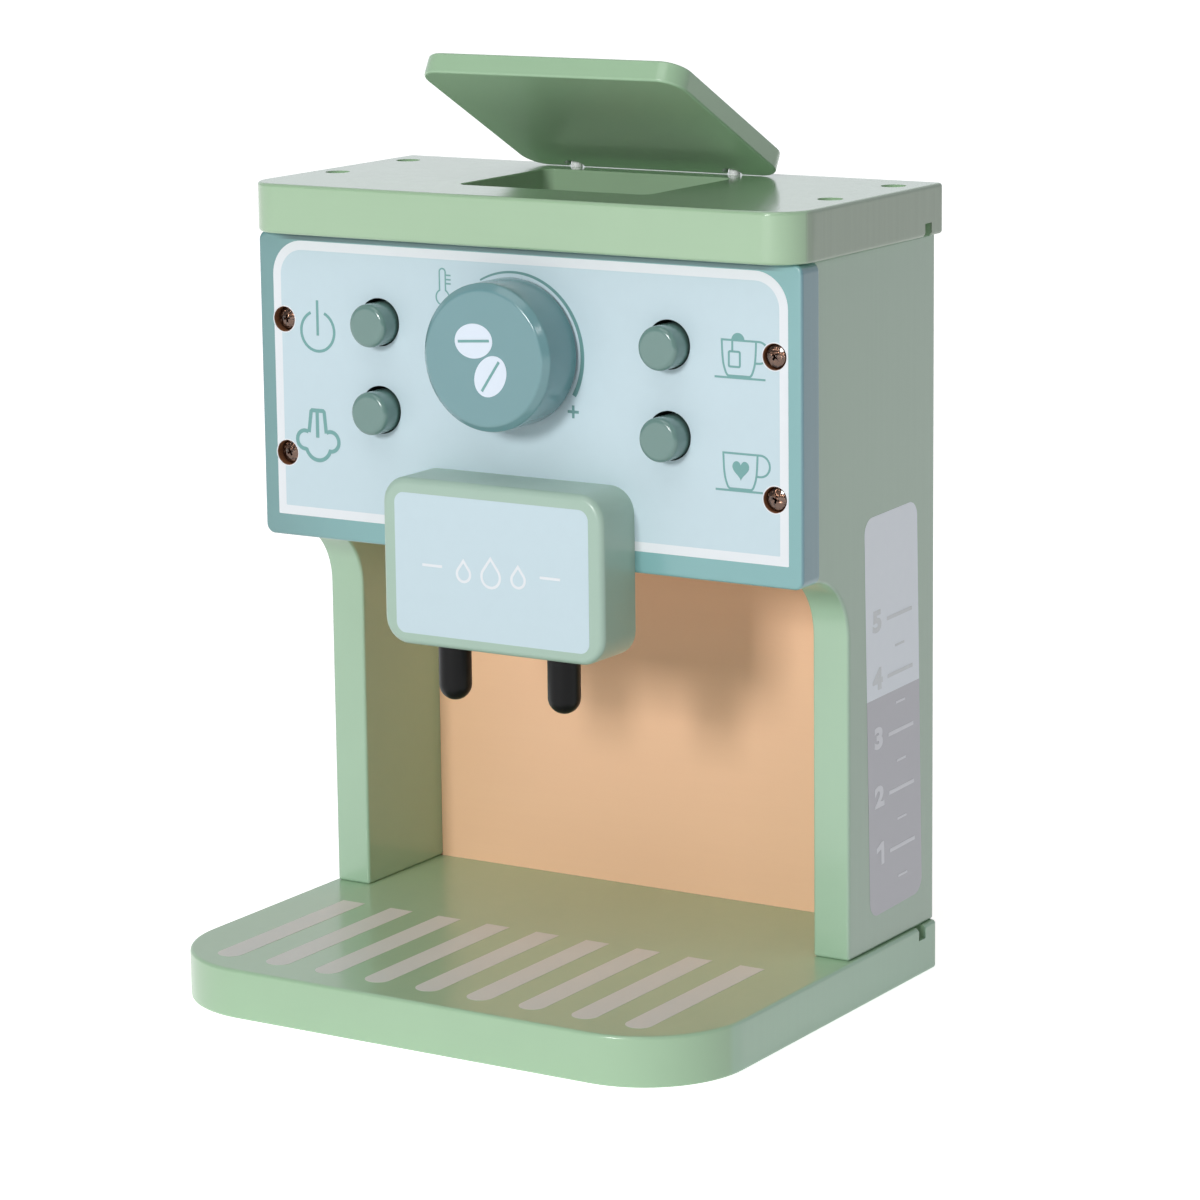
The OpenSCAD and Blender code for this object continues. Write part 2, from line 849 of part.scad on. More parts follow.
module base_screws() {
  color(steel)
    for (x = [-side_x, side_x], y = base_screw_y)
      translate([x, y, head_sink]) rotate([180, 0, 0]) wood_screw(screw_length);
}

base_board();
left_side();
right_side();
back_panel();
top_board();
control_panel();
chamber_floor();
floor_dowels();
lid();
left_hinge_post();
right_hinge_post();
left_hinge_pin();
right_hinge_pin();
brew_head();
left_spout();
right_spout();
brew_head_screws();
knob();
knob_shaft();
knob_spacer();
knob_washer();
knob_screw();
power_button();
steam_button();
tea_button();
coffee_button();
power_spring();
steam_spring();
tea_spring();
coffee_spring();
left_bracket();
right_bracket();
bracket_screws();
panel_screws();
top_screws();
top_plugs();
base_screws();
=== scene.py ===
import math

import bmesh
import bpy
from mathutils import Matrix, Vector


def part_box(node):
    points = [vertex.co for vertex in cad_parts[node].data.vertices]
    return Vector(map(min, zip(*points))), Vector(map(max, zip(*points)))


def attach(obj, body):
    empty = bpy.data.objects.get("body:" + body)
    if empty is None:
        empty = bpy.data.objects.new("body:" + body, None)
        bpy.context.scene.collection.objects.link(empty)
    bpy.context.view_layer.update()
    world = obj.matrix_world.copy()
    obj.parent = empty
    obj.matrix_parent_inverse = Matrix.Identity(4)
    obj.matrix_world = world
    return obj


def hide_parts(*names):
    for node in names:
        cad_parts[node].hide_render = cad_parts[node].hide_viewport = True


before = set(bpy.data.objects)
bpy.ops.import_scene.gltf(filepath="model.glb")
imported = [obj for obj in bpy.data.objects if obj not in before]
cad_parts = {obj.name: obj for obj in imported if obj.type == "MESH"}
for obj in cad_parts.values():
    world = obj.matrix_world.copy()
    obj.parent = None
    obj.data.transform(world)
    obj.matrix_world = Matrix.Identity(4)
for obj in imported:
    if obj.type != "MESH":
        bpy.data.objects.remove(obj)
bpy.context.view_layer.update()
mm = 0.001
print("frame loaded:", len(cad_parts), "nodes")


# Working helpers

def pick(*pieces):
    bpy.ops.object.select_all(action="DESELECT")
    for piece in pieces:
        piece.select_set(True)
    bpy.context.view_layer.objects.active = pieces[0]


def settle(piece):  # the object's place goes into its mesh
    pick(piece)
    bpy.ops.object.transform_apply(location=True, rotation=True, scale=True)
    return piece


def edit(piece):
    pick(piece)
    bpy.ops.object.mode_set(mode="EDIT")


def choose(piece, find):  # selects what find picks out of the mesh that is being edited
    shape = bmesh.from_edit_mesh(piece.data)
    for part in find(shape):
        part.select_set(True)
    bmesh.update_edit_mesh(piece.data)


def done():
    bpy.ops.object.mode_set(mode="OBJECT")


def selectMesh(action):
    bpy.ops.mesh.select_all(action=action)


def linked(name, data):
    thing = bpy.data.objects.new(name, data)
    bpy.context.scene.collection.objects.link(thing)
    return thing


def meshOf(name, data):  # a curve or text as a mesh
    pick(linked(name, data))
    bpy.ops.object.convert(target="MESH")
    return bpy.context.active_object


def applyModifier(piece, kind, **values):
    pick(piece)
    modifier = piece.modifiers.new(kind.title(), kind)
    for key, value in values.items():
        setattr(modifier, key, value)
    bpy.ops.object.modifier_apply(modifier=modifier.name)


def carve(cutter, *pieces, operation="DIFFERENCE"):  # the cutter is used up
    for piece in pieces:
        applyModifier(piece, "BOOLEAN", operation=operation, object=cutter, solver="EXACT")
    bpy.data.objects.remove(cutter)


def smooth(piece, angle):
    pick(piece)
    bpy.ops.object.shade_smooth_by_angle(angle=math.radians(angle))


def shadeEvenly(piece, angle):  # broad faces keep their own shading up to their rounded edges
    smooth(piece, angle)
    applyModifier(piece, "WEIGHTED_NORMAL", keep_sharp=True)


def dress(piece, body, slotName, material, *nodes):
    piece.data.materials.clear()
    piece.data.materials.append(material)
    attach(piece, body)
    if nodes:
        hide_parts(*nodes)


def duplicate(piece, name):
    twin = piece.copy()
    twin.data = piece.data.copy()
    twin.name = name
    bpy.context.scene.collection.objects.link(twin)
    return twin


def scatter(blank, names, places, *look):  # a dressed copy of the blank at each place
    for name, place in zip(names, places):
        piece = duplicate(blank, name)
        piece.matrix_world = place
        settle(piece)
        dress(piece, *look)
    bpy.data.objects.remove(blank)


weld = {"seam": 0.002 * mm, "turned": 0.001 * mm, "print": 0.0005 * mm, "flat": 0.5}  # flat: degrees


def copyOfNode(node, name):
    piece = duplicate(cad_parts[node], name)
    piece.parent = None
    for key in [key for key in piece.keys() if key.startswith("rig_")]:
        del piece[key]
    edit(piece)
    selectMesh("SELECT")
    bpy.ops.mesh.customdata_custom_splitnormals_clear()
    bpy.ops.mesh.remove_doubles(threshold=weld["seam"])
    bpy.ops.mesh.dissolve_limited(angle_limit=math.radians(weld["flat"]))
    done()
    return piece


bevel = {"sharp": 40, "smallest": 12 * mm, "ring": 1.5, "flat": 0.999, "shade": 32}  # angles in degrees


def rimEdges(shape, skip):  # convex sharp edges, without the rims of small holes
    sharp = [
        e for e in shape.edges
        if len(e.link_faces) == 2 and e.calc_face_angle_signed(0) > math.radians(bevel["sharp"])
        and not skip((e.verts[0].co + e.verts[1].co) / 2)
    ]
    waiting = set(sharp)
    rims = []
    while waiting:
        group = [waiting.pop()]
        for e in group:
            near = {n for v in e.verts for n in v.link_edges if n in waiting}
            waiting -= near
            group.extend(near)
        spots = [v.co for e in group for v in e.verts]
        span = max(max(s[i] for s in spots) - min(s[i] for s in spots) for i in range(3))
        if span > bevel["smallest"]:
            rims.extend(group)
    return rims


def ringFaces(piece, width, skip):  # a ring of quads round faces with holes keeps the bevel even
    def planes(shape):
        rims = set(rimEdges(shape, skip))
        groups = {}
        for face in shape.faces:
            axis = max(range(3), key=lambda i: abs(face.normal[i]))
            if abs(face.normal[axis]) > bevel["flat"]:
                spot = face.verts[0].co[axis]
                groups.setdefault((axis, face.normal[axis] > 0, round(spot / mm, 2)), []).append(face)
        return {
            key: faces for key, faces in groups.items()
            if any(len(face.verts) > 4 for face in faces)
            and any(e in rims for face in faces for e in face.edges)
        }

    bpy.ops.mesh.select_mode(type="FACE")
    for key in sorted(planes(bmesh.from_edit_mesh(piece.data))):
        selectMesh("DESELECT")
        choose(piece, lambda shape: planes(shape)[key])
        bpy.ops.mesh.inset(thickness=bevel["ring"] * width, use_even_offset=True)
        bpy.ops.mesh.delete(type="FACE")
        bpy.ops.mesh.select_mode(type="EDGE")
        bpy.ops.mesh.select_non_manifold(
            extend=False, use_wire=False, use_multi_face=False, use_non_contiguous=False, use_verts=False)
        bpy.ops.mesh.fill(use_beauty=True)
        selectMesh("SELECT")
        bpy.ops.mesh.normals_make_consistent(inside=False)
        bpy.ops.mesh.select_mode(type="FACE")


def soften(piece, width, segments, skip):  # rounds the edges that skip leaves
    edit(piece)
    ringFaces(piece, width, skip)
    selectMesh("DESELECT")
    bpy.ops.mesh.select_mode(type="EDGE")
    choose(piece, lambda shape: rimEdges(shape, skip))
    bpy.ops.mesh.bevel(offset=width, segments=segments, affect="EDGES", clamp_overlap=False)
    done()
    shadeEvenly(piece, bevel["shade"])


def turned(name, profile, place, steps=96):  # profile: radius and height in mm, turned about Z
    bpy.ops.object.select_all(action="DESELECT")
    bpy.ops.mesh.primitive_plane_add(size=mm, location=(0, 0, 0))
    piece = bpy.context.active_object
    piece.name = name
    bpy.ops.object.mode_set(mode="EDIT")
    bpy.ops.mesh.select_mode(type="VERT")
    selectMesh("SELECT")
    bpy.ops.mesh.merge(type="CENTER")
    spots = [Vector((r * mm, 0, h * mm)) for r, h in profile]
    bpy.ops.transform.translate(value=spots[0])
    for last, spot in zip(spots, spots[1:]):
        bpy.ops.mesh.extrude_vertices_move(TRANSFORM_OT_translate={"value": spot - last})
    selectMesh("SELECT")
    bpy.ops.mesh.spin(steps=steps, angle=math.tau, center=(0, 0, 0), axis=(0, 0, 1))
    selectMesh("SELECT")
    bpy.ops.mesh.remove_doubles(threshold=weld["turned"])
    bpy.ops.mesh.normals_make_consistent(inside=False)
    done()
    piece.matrix_world = place
    return settle(piece)


def arc(x, z, radius, start, end, steps=24):
    turns = [math.radians(start + (end - start) * i / steps) for i in range(steps + 1)]
    return [(x + radius * math.cos(t), z + radius * math.sin(t)) for t in turns]


def circle(x, z, radius, hole=False, steps=48):  # closed outline; that of a hole runs the other way
    step = 360 / steps
    start, end = (360, step) if hole else (0, 360 - step)
    return arc(x, z, radius, start, end, steps - 1)


def facePlace(origin, across, up):  # local X, Y and Z become across, up and out of the face
    across, up = Vector(across), Vector(up)
    out = across.cross(up)
    return Matrix.Translation(Vector(origin)) @ Matrix((across, up, out)).transposed().to_4x4()


def frontPlace(x, y, z):  # on a face that looks to the front, with local Z out of it
    return facePlace((x, y, z), (1, 0, 0), (0, 0, 1))


# Materials

def linear(hexColour):
    parts = [int(hexColour[i:i + 2], 16) / 255 for i in (1, 3, 5)]
    return tuple(p / 12.92 if p <= 0.04045 else ((p + 0.055) / 1.055) ** 2.4 for p in parts) + (1.0,)


def shaded(colour, factor):
    return tuple(min(c * factor, 1.0) for c in colour[:3]) + (1.0,)


class Wire:  # one socket of a node tree, with Python's operators
    def __init__(self, tree, socket=None):
        self.tree = tree
        self.socket = socket

    def node(self, kind, settings=None, inputs=None, out=0):
        made = self.tree.nodes.new(kind)
        for key, value in (settings or {}).items():
            setattr(made, key, value)
        for key, value in (inputs or {}).items():
            if isinstance(value, Wire):
                self.tree.links.new(value.socket, made.inputs[key])
            else:
                made.inputs[key].default_value = value
        return Wire(self.tree, made.outputs[out])

    def maths(self, operation, *values):
        return self.node("ShaderNodeMath", {"operation": operation}, dict(enumerate(values)))

    def __add__(self, other):
        return self.maths("ADD", self, other)

    __radd__ = __add__

    def __sub__(self, other):
        return self.maths("SUBTRACT", self, other)

    def __rsub__(self, other):
        return self.maths("SUBTRACT", other, self)

    def __mul__(self, other):
        return self.maths("MULTIPLY", self, other)

    __rmul__ = __mul__

    def blend(self, first, second):  # this value picks between two colours, sockets 6 and 7 of the node
        return self.node("ShaderNodeMix", {"data_type": "RGBA"}, {0: self, 6: first, 7: second}, 2)

    def spot(self, axis, space="Object"):  # one coordinate of the shaded spot
        place = self.node("ShaderNodeTexCoord", out=space)
        return self.node("ShaderNodeSeparateXYZ", {}, {0: place}, axis)

    def fade(self, start, end, low=0.0, high=1.0, kind="SMOOTHSTEP"):  # low to high from start to end
        return self.node("ShaderNodeMapRange", {"interpolation_type": kind},
                         {"Value": self, "From Min": start, "From Max": end, "To Min": low, "To Max": high})

    def rays(self, kind):  # 1 for rays of this kind
        return self.node("ShaderNodeLightPath", out="Is " + kind + " Ray")

    def noise(self, scale, detail, stretch=(1, 1, 1)):
        place = self.node("ShaderNodeTexCoord", out="Object")
        placed = self.node("ShaderNodeMapping", {}, {"Vector": place, "Scale": stretch})
        return self.node("ShaderNodeTexNoise", {}, {"Vector": placed, "Scale": scale, "Detail": detail})

    def uneven(self, scale, detail, middle, spread, stretch=(1, 1, 1)):
        return self.noise(scale, detail, stretch) * spread + (middle - spread / 2)

    def bump(self, height, strength, distance):
        return self.node("ShaderNodeBump", {}, {"Height": height, "Strength": strength, "Distance": distance})


viewportGreen = "#AECDAF"  # of every piece in solid view


def material(name, colour, roughness, normal, **constants):
    made = bpy.data.materials.new(name)
    made.use_nodes = True
    tree = made.node_tree
    shader = tree.nodes["Principled BSDF"]
    wire = Wire(tree)
    for key, make in (("Base Color", colour), ("Roughness", roughness), ("Normal", normal)):
        tree.links.new(make(wire).socket, shader.inputs[key])
    for key, value in constants.items():
        shader.inputs[key.replace("_", " ")].default_value = value
    made.diffuse_color = linear(viewportGreen)
    return made


paint = {  # scales are per metre
    "mottle": 0.03,         # how far the colour wanders
    "mottleScale": 45,
    "grainShow": 0.05,      # wood grain telegraphing through the paint
    "grainScale": 900,
    "grainShade": 0.72,
    "peelScale": 420,       # soft orange peel of sprayed paint
    "peelShare": 0.6,
    "peelShow": 0.3,
    "peelDepth": 0.015 * mm,
    "roughness": 0.36,
    "roughnessScale": 270,
    "roughnessSpread": 0.08,
    "coatRoughness": 0.14,
    "endRim": (0.9 * mm, 0.3 * mm),         # where end paint starts and is full, in from the end face
    "endScale": 720,        # brush marks on end faces
    "endShade": 0.6,
    "overhangShadowShow": 0.6,        # painted shadow under the overhanging top board, and where it fades out towards the sides
    "overhangShadowFade": (80 * mm, 89 * mm),
    "overhangShadowHalf": 0.15 * mm,
    "overhangShadowDepth": 0.12,
    "leftShadeFade": (-95 * mm, -50 * mm),       # painted shade, darker towards the left end
    "leftShadeDepth": 0.3,
}


def paintedWood(name, hexColour, grain="X", roughness=paint["roughness"], coat=0.0,
                grainShow=paint["grainShow"], shine=0.5, ends=None, seam=None, left=None):
    base = linear(hexColour)
    along = {"X": (0.03, 1, 1), "Y": (1, 0.03, 1), "Z": (1, 1, 0.03)}[grain]

    def endGrain(wire):  # 1 on the end faces, where the paint lies thinner and duller and holds painted shade (painted light on the base board)
        start, full = paint["endRim"]
        return wire.maths("ABSOLUTE", wire.spot("X")).fade(ends[0] - start, ends[0] - full)

    def seamLine(wire):  # painted shadow under the overhanging top board, not below its rounded corners
        across = wire.maths("ABSOLUTE", wire.spot("X"))
        covered = across.fade(*paint["overhangShadowFade"], paint["overhangShadowShow"], 0.0)
        return covered * wire.spot("Z").fade(seam - paint["overhangShadowHalf"], seam + paint["overhangShadowHalf"])

    def colour(wire):
        cloud = wire.noise(paint["mottleScale"], 2.0)
        streak = wire.noise(paint["grainScale"], 4.0, along)
        painted = cloud.blend(shaded(base, 1 - paint["mottle"]), shaded(base, 1 + paint["mottle"]))
        grained = (streak * grainShow).blend(painted, shaded(base, paint["grainShade"]))
        # painted shade: the colour darkens towards the left end
        if left is not None:
            leftShadeMask = wire.spot("X").fade(*paint["leftShadeFade"], left, 0.0, "LINEAR")
            grained = leftShadeMask.blend(grained, shaded(base, paint["leftShadeDepth"]))
        # painted shadow: the paint is darkened from the seam height up, under the top board's overhang
        if seam is not None:
            grained = seamLine(wire).blend(grained, shaded(base, paint["overhangShadowDepth"]))
        if ends is None:
            return grained
        # end faces take their own colour: painted shade, darker and greyer; on the base board painted light,
        # lighter and bluer
        endBase = linear(ends[1])
        marks = wire.noise(paint["endScale"], 3.0, (1, 1, 0.02)) * ends[2]
        return endGrain(wire).blend(grained, marks.blend(endBase, shaded(endBase, paint["endShade"])))

    def roughnessOf(wire):
        even = wire.uneven(paint["roughnessScale"], 3.0, roughness, paint["roughnessSpread"])
        return even if ends is None else even + endGrain(wire) * (paint["roughness"] - roughness)

    def normalOf(wire):
        peel = wire.noise(paint["peelScale"], 1.0) * paint["peelShare"]
        streak = wire.noise(paint["grainScale"] / 2, 1.0, along) * (1 - paint["peelShare"])
        return wire.bump(peel + streak, paint["peelShow"], paint["peelDepth"])

    return material(name, colour, roughnessOf, normalOf, Coat_Weight=coat,
                    Coat_Roughness=paint["coatRoughness"], Specular_IOR_Level=shine)


timber = {
    "ringScale": 55, "ringShow": 0.75, "ringPale": 1.05,
    "fineScale": 1300, "fineShade": 0.62, "fineBump": 0.3, "fineDepth": 0.03 * mm,
    "roughnessScale": 700, "roughnessSpread": 0.16,
}


def bareWood(name, hexColour, grain="Z", contrast=0.16, roughness=0.5, fineShow=0.28):
    base = linear(hexColour)
    along = {"X": (0.02, 1, 1), "Y": (1, 0.02, 1), "Z": (1, 1, 0.02)}[grain]

    def colour(wire):
        broad = wire.noise(timber["ringScale"], 3.0, along) * timber["ringShow"]
        fine = wire.noise(timber["fineScale"], 5.0, along) * fineShow
        ringed = broad.blend(shaded(base, timber["ringPale"]), shaded(base, 1 - contrast))
        return fine.blend(ringed, shaded(base, timber["fineShade"]))

    def roughnessOf(wire):
        return wire.uneven(timber["roughnessScale"], 3.0, roughness, timber["roughnessSpread"], along)

    def normalOf(wire):
        return wire.bump(wire.noise(timber["fineScale"], 5.0, along), timber["fineBump"], timber["fineDepth"])

    return material(name, colour, roughnessOf, normalOf)


def plainFinish(name, hexColour, look, **constants):  # one colour that wanders a little
    base = linear(hexColour)

    def colour(wire):
        cloud = wire.noise(look["cloudScale"], look["cloudDetail"])
        return cloud.blend(shaded(base, 1 - look["cloud"]), shaded(base, 1 + look["cloud"]))

    def roughnessOf(wire):
        return wire.uneven(look["roughnessScale"], look["detail"], look["roughness"], look["spread"])

    def normalOf(wire):
        return wire.bump(wire.noise(look["gritScale"], look["detail"]), look["grit"], 0.01 * mm)

    return material(name, colour, roughnessOf, normalOf, **constants)


inkLook = {
    "cloud": 0.015, "cloudScale": 260, "cloudDetail": 4.0, "detail": 3.0, "roughness": 0.42,
    "roughnessScale": 900, "spread": 0.08, "grit": 0.2, "gritScale": 1600, "coatRoughness": 0.2,
}
nylonLook = {
    "cloud": 0.02, "cloudScale": 400, "cloudDetail": 2.0, "detail": 2.0, "roughness": 0.35,
    "roughnessScale": 1500, "spread": 0.1, "grit": 0.15, "gritScale": 2500,
}


def printInk(name, hexColour, coat=0.0):
    return plainFinish(name, hexColour, inkLook, Coat_Weight=coat, Coat_Roughness=inkLook["coatRoughness"])


metalLook = {
    "wearScale": 900, "wearShade": 1.8, "roughnessScale": 2200, "spread": 0.22, "coatRoughness": 0.08,
}


def metal(name, hexColour, roughness, wear, dents, coat=0.0):  # dents: scale, strength, depth in mm
    base = linear(hexColour)

    def colour(wire):
        worn = wire.noise(metalLook["wearScale"], 4.0) * wear
        return worn.blend(base, shaded(base, metalLook["wearShade"]))

    def roughnessOf(wire):
        return wire.uneven(metalLook["roughnessScale"], 4.0, roughness, metalLook["spread"])

    def normalOf(wire):
        return wire.bump(wire.noise(dents[0], 1.0), dents[1], dents[2] * mm)

    return material(name, colour, roughnessOf, normalOf, Metallic=1.0, Coat_Weight=coat,
                    Coat_Roughness=metalLook["coatRoughness"])


def endPaint(node, hexColour, marks):  # where a board's end faces lie, their colour, which holds painted shade (on the base board painted light), and its brush marks
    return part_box(node)[1].x, hexColour, marks


# base board end faces: lighter, bluer colour as painted light
greenPaint = paintedWood("green paint", "#A3C4A2", "X", 0.33, 0.4,
                         ends=endPaint("base_board", "#A9CBB2", 0.1))
# outer faces of the sides: darker, greyer colour as painted shade
greenSidePaint = paintedWood("green paint on sides", "#A7C7AB", "Z", 0.34, 0.6,
                             ends=endPaint("right_side", "#9FBAA5", 0.14))
# top board end faces: darker, greyer colour as painted shade
greenTopPaint = paintedWood("glossy green paint", "#A0BF9D", "X", 0.17, 0.5,
                            ends=endPaint("top_board", "#98AA94", 0.4))
lidPaint = paintedWood("lid paint", "#9FC09E", "X", 0.22, 0.3)
# control panel end faces: darker, greyer colour as painted shade
# left: strength of the painted shade towards the left end
# seam: height from which the teal paint takes a painted shadow under the top board
tealPaint = paintedWood("teal paint", "#7EAEAF", "X", 0.34, 0.6,
                        ends=endPaint("control_panel", "#6F98A3", 0.4), seam=222.8 * mm, left=0.42)
knobPaint = paintedWood("knob paint", "#6D969B", "Z", 0.2, 0.3, grainShow=0.0)
buttonPaint = paintedWood("button paint", "#698983", "Z", 0.18, 0.3, grainShow=0.0)
mintPaint = paintedWood("mint paint", "#A5BFB0", "X", 0.34, 0.15)
blackPaint = paintedWood("black paint", "#050506", "Z", 0.36, grainShow=0.0, shine=0.2)
# painted shade: dark paint for the button hole walls, which lie in shade
holeShadePaint = paintedWood("dark hole walls", "#16211F", "Y", 0.5, grainShow=0.0, shine=0.1)
peachPly = bareWood("lacquered plywood", "#FFCCA6", "X", contrast=0.05, roughness=0.45, fineShow=0.06)
beech = bareWood("turned beech", "#D9AE7E", "Z", contrast=0.2)
fieldInk = printInk("pale blue print", "#C5D8E0")
whiteInk = printInk("white print", "#E4E8EC")
symbolInk = printInk("symbol print", "#72A3A1")
scaleInk = printInk("scale print", "#679493")
beanInk = printInk("bean print", "#DCE6F2")
gaugePaleInk = printInk("gauge pale print", "#F0F6FF", 0.6)
gaugeGreyInk = printInk("gauge grey print", "#C1C0C8", 0.5)
gaugeMarkInk = printInk("gauge marks on pale", "#D8DCE0", 0.6)
gaugeLightInk = printInk("gauge marks on grey", "#E8E8EF", 0.5)
stripeInk = printInk("stripe print", "#DEDFDA")
bronze = metal("bronzed screw", "#5A4235", 0.21, wear=0.25, dents=(1000, 1.0, 0.5), coat=1.0)
boardCore = bareWood("board core", "#8A5A3A", "Y", contrast=0.3, roughness=0.6)
steel = metal("zinc steel", "#B9BABA", 0.33, wear=0.15, dents=(1800, 0.25, 0.02))
nylon = plainFinish("white nylon", "#FCFCFF", nylonLook)
print("materials made")


# Case

def boxMiddle(node):
    low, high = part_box(node)
    return (low + high) / 2


edges = {"board": 1.0 * mm, "side": 0.9 * mm, "panel": 0.9 * mm, "hatch": 0.35 * mm, "rear": 2.2 * mm}
groove = {"y": boxMiddle("back_panel").y, "half": 2.4 * mm}
hatch = {"half": 36 * mm, "front": -1 * mm, "rear": 60 * mm}  # a little more than the opening


def grooveSkip(spot):
    return abs(spot.y - groove["y"]) < groove["half"]


def rearEdges(shape, near=0.1 * mm, tall=5 * mm):  # the two upright edges at the back
    side = max(v.co.x for v in shape.verts) - near
    back = max(v.co.y for v in shape.verts) - near
    return [
        e for e in shape.edges
        if abs(e.verts[0].co.z - e.verts[1].co.z) > tall
        and all(abs(v.co.x) > side and v.co.y > back for v in e.verts)
    ]


def roundRear(piece):
    edit(piece)
    selectMesh("DESELECT")
    bpy.ops.mesh.select_mode(type="EDGE")
    choose(piece, rearEdges)
    bpy.ops.mesh.bevel(offset=edges["rear"], segments=8, affect="EDGES")
    done()


def makeBoard(name, node, slotName, finish, width):
    piece = copyOfNode(node, name)
    if node == "base_board":
        roundRear(piece)
    soften(piece, width, 4, grooveSkip)
    dress(piece, "case", slotName, finish, node)


def hatchSkip(spot):
    return abs(spot.x) < hatch["half"] and hatch["front"] < spot.y < hatch["rear"]


def makeTopBoard():
    piece = copyOfNode("top_board", "topBoard")
    roundRear(piece)
    soften(piece, edges["board"], 4, lambda spot: grooveSkip(spot) or hatchSkip(spot))
    middle = boxMiddle("top_board").z  # only the hatch's upper rim is rounded
    soften(piece, edges["hatch"], 2, lambda spot: not hatchSkip(spot) or spot.z < middle)
    dress(piece, "case", "green_paint", greenTopPaint, "top_board")


makeTopBoard()
makeBoard("baseBoard", "base_board", "green_paint", greenPaint, edges["board"])
makeBoard("leftShadeMask", "left_side", "green_paint", greenSidePaint, edges["side"])
makeBoard("rightSide", "right_side", "green_paint", greenSidePaint, edges["side"])
makeBoard("controlPanel", "control_panel", "teal_paint", tealPaint, edges["panel"])
print("case boards softened")


def smoothCopy(name, node, body, slotName, finish):
    piece = copyOfNode(node, name)
    shadeEvenly(piece, 40)
    dress(piece, body, slotName, finish, node)


smoothCopy("lidBoard", "lid", "lid", "green_paint", lidPaint)
smoothCopy("brewHead", "brew_head", "case", "mint_paint", mintPaint)
for side in ("left", "right"):
    smoothCopy(side + "HingePost", side + "_hinge_post", "case", "white_nylon", nylon)
print("lid and brew head finished")


# Knob, buttons and spouts

turnShade = 50  # degrees, for turned pieces
buttonKinds = ("power", "steam", "tea", "coffee")


def turnPlace(node):  # turned pieces start at the back of their node, with their top to the front
    middle = boxMiddle(node)
    return frontPlace(middle.x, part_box(node)[1].y, middle.z)


knob = {
    "radius": 21.8, "thickness": 16.4, "edge": 1.9, "ease": 0.5, "rearBevel": 0.6,
    "socket": 5.05, "socketDepth": 10,
}


def bevelled(radius, top, edge, ease, steps=5):  # bevelled rim with eased corners
    slant = ease * math.sqrt(0.5)
    lower = ((radius, top - edge - ease), (radius, top - edge), (radius - slant, top - edge + slant))
    upper = ((radius - edge + slant, top - slant), (radius - edge, top), (radius - edge - ease, top))
    spots = []
    for corner in (lower, upper):
        for i in range(steps + 1):
            t = i / steps
            shares = ((1 - t) ** 2, 2 * t * (1 - t), t ** 2)
            spots.append(tuple(sum(share * spot[k] for share, spot in zip(shares, corner)) for k in (0, 1)))
    return spots


def makeKnob():
    r, t = knob["radius"], knob["thickness"]
    profile = (
        [(0, knob["socketDepth"]), (knob["socket"], knob["socketDepth"]), (knob["socket"], 0)]
        + [(r - knob["rearBevel"], 0), (r, knob["rearBevel"])]
        + bevelled(r, t, knob["edge"], knob["ease"])
        + [(0, t)]
    )
    piece = turned("turningKnob", profile, turnPlace("knob"), 128)
    shadeEvenly(piece, turnShade)
    dress(piece, "knob", "knob_paint", knobPaint, "knob")


button = {"radius": 6.5, "edge": 1.5, "collar": 8.5, "collarThick": 3.0, "stem": 3.0, "stemLength": 18.0}


def makeButtons():
    low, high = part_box("power_button")
    length = (high.y - low.y) / mm
    b = button
    collarTop = b["stemLength"] + b["collarThick"]
    profile = (
        [(0, 0), (b["stem"], 0), (b["stem"], b["stemLength"])]
        + [(b["collar"], b["stemLength"]), (b["collar"], collarTop), (b["radius"], collarTop)]
        + arc(b["radius"] - b["edge"], length - b["edge"], b["edge"], 0, 90, 10)
        + [(0, length)]
    )
    for kind in buttonKinds:
        node = kind + "_button"
        piece = turned(kind + "PushButton", profile, turnPlace(node), 72)
        shadeEvenly(piece, turnShade)
        dress(piece, node, "button_paint", buttonPaint, node)


def makeSpouts():
    for side in ("left", "right"):
        low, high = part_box(side + "_spout")
        radius = (high.x - low.x) / 2 / mm
        height = (high.z - low.z) / mm
        profile = arc(0, radius, radius, -90, 0, 16) + [(radius, height), (0, height)]
        place = Matrix.Translation(((low.x + high.x) / 2, (low.y + high.y) / 2, low.z))
        piece = turned(side + "Spout", profile, place, 64)
        smooth(piece, turnShade)
        dress(piece, "case", "black_paint", blackPaint, side + "_spout")


# sizes of the painted shade liners in the button holes
holeShade = {"ease": 0.06, "liner": 0.1}


def makeButtonWells():  # thin dark liners, painted shade on the teal walls of the button holes
    low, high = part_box("control_panel")
    deep = (high.y - low.y) / mm
    outer = panelPrint["buttonHole"] - holeShade["ease"]
    inner = outer - holeShade["liner"]
    top = -holeShade["ease"]
    profile = [(inner, -deep), (outer, -deep), (outer, top), (inner, top), (inner, -deep)]
    places = []
    for kind in buttonKinds:
        middle = boxMiddle(kind + "_button")
        places.append(frontPlace(middle.x, low.y, middle.z + panelPrint["holeRise"] * mm))
    blank = turned("holeShadeBlank", profile, Matrix.Identity(4), 72)
    scatter(blank, [kind + "ButtonHoleShade" for kind in buttonKinds], places, "case", "teal_paint", holeShadePaint)


makeKnob()
makeButtons()
makeSpouts()
print("turned pieces made")


# Screws in the control panel

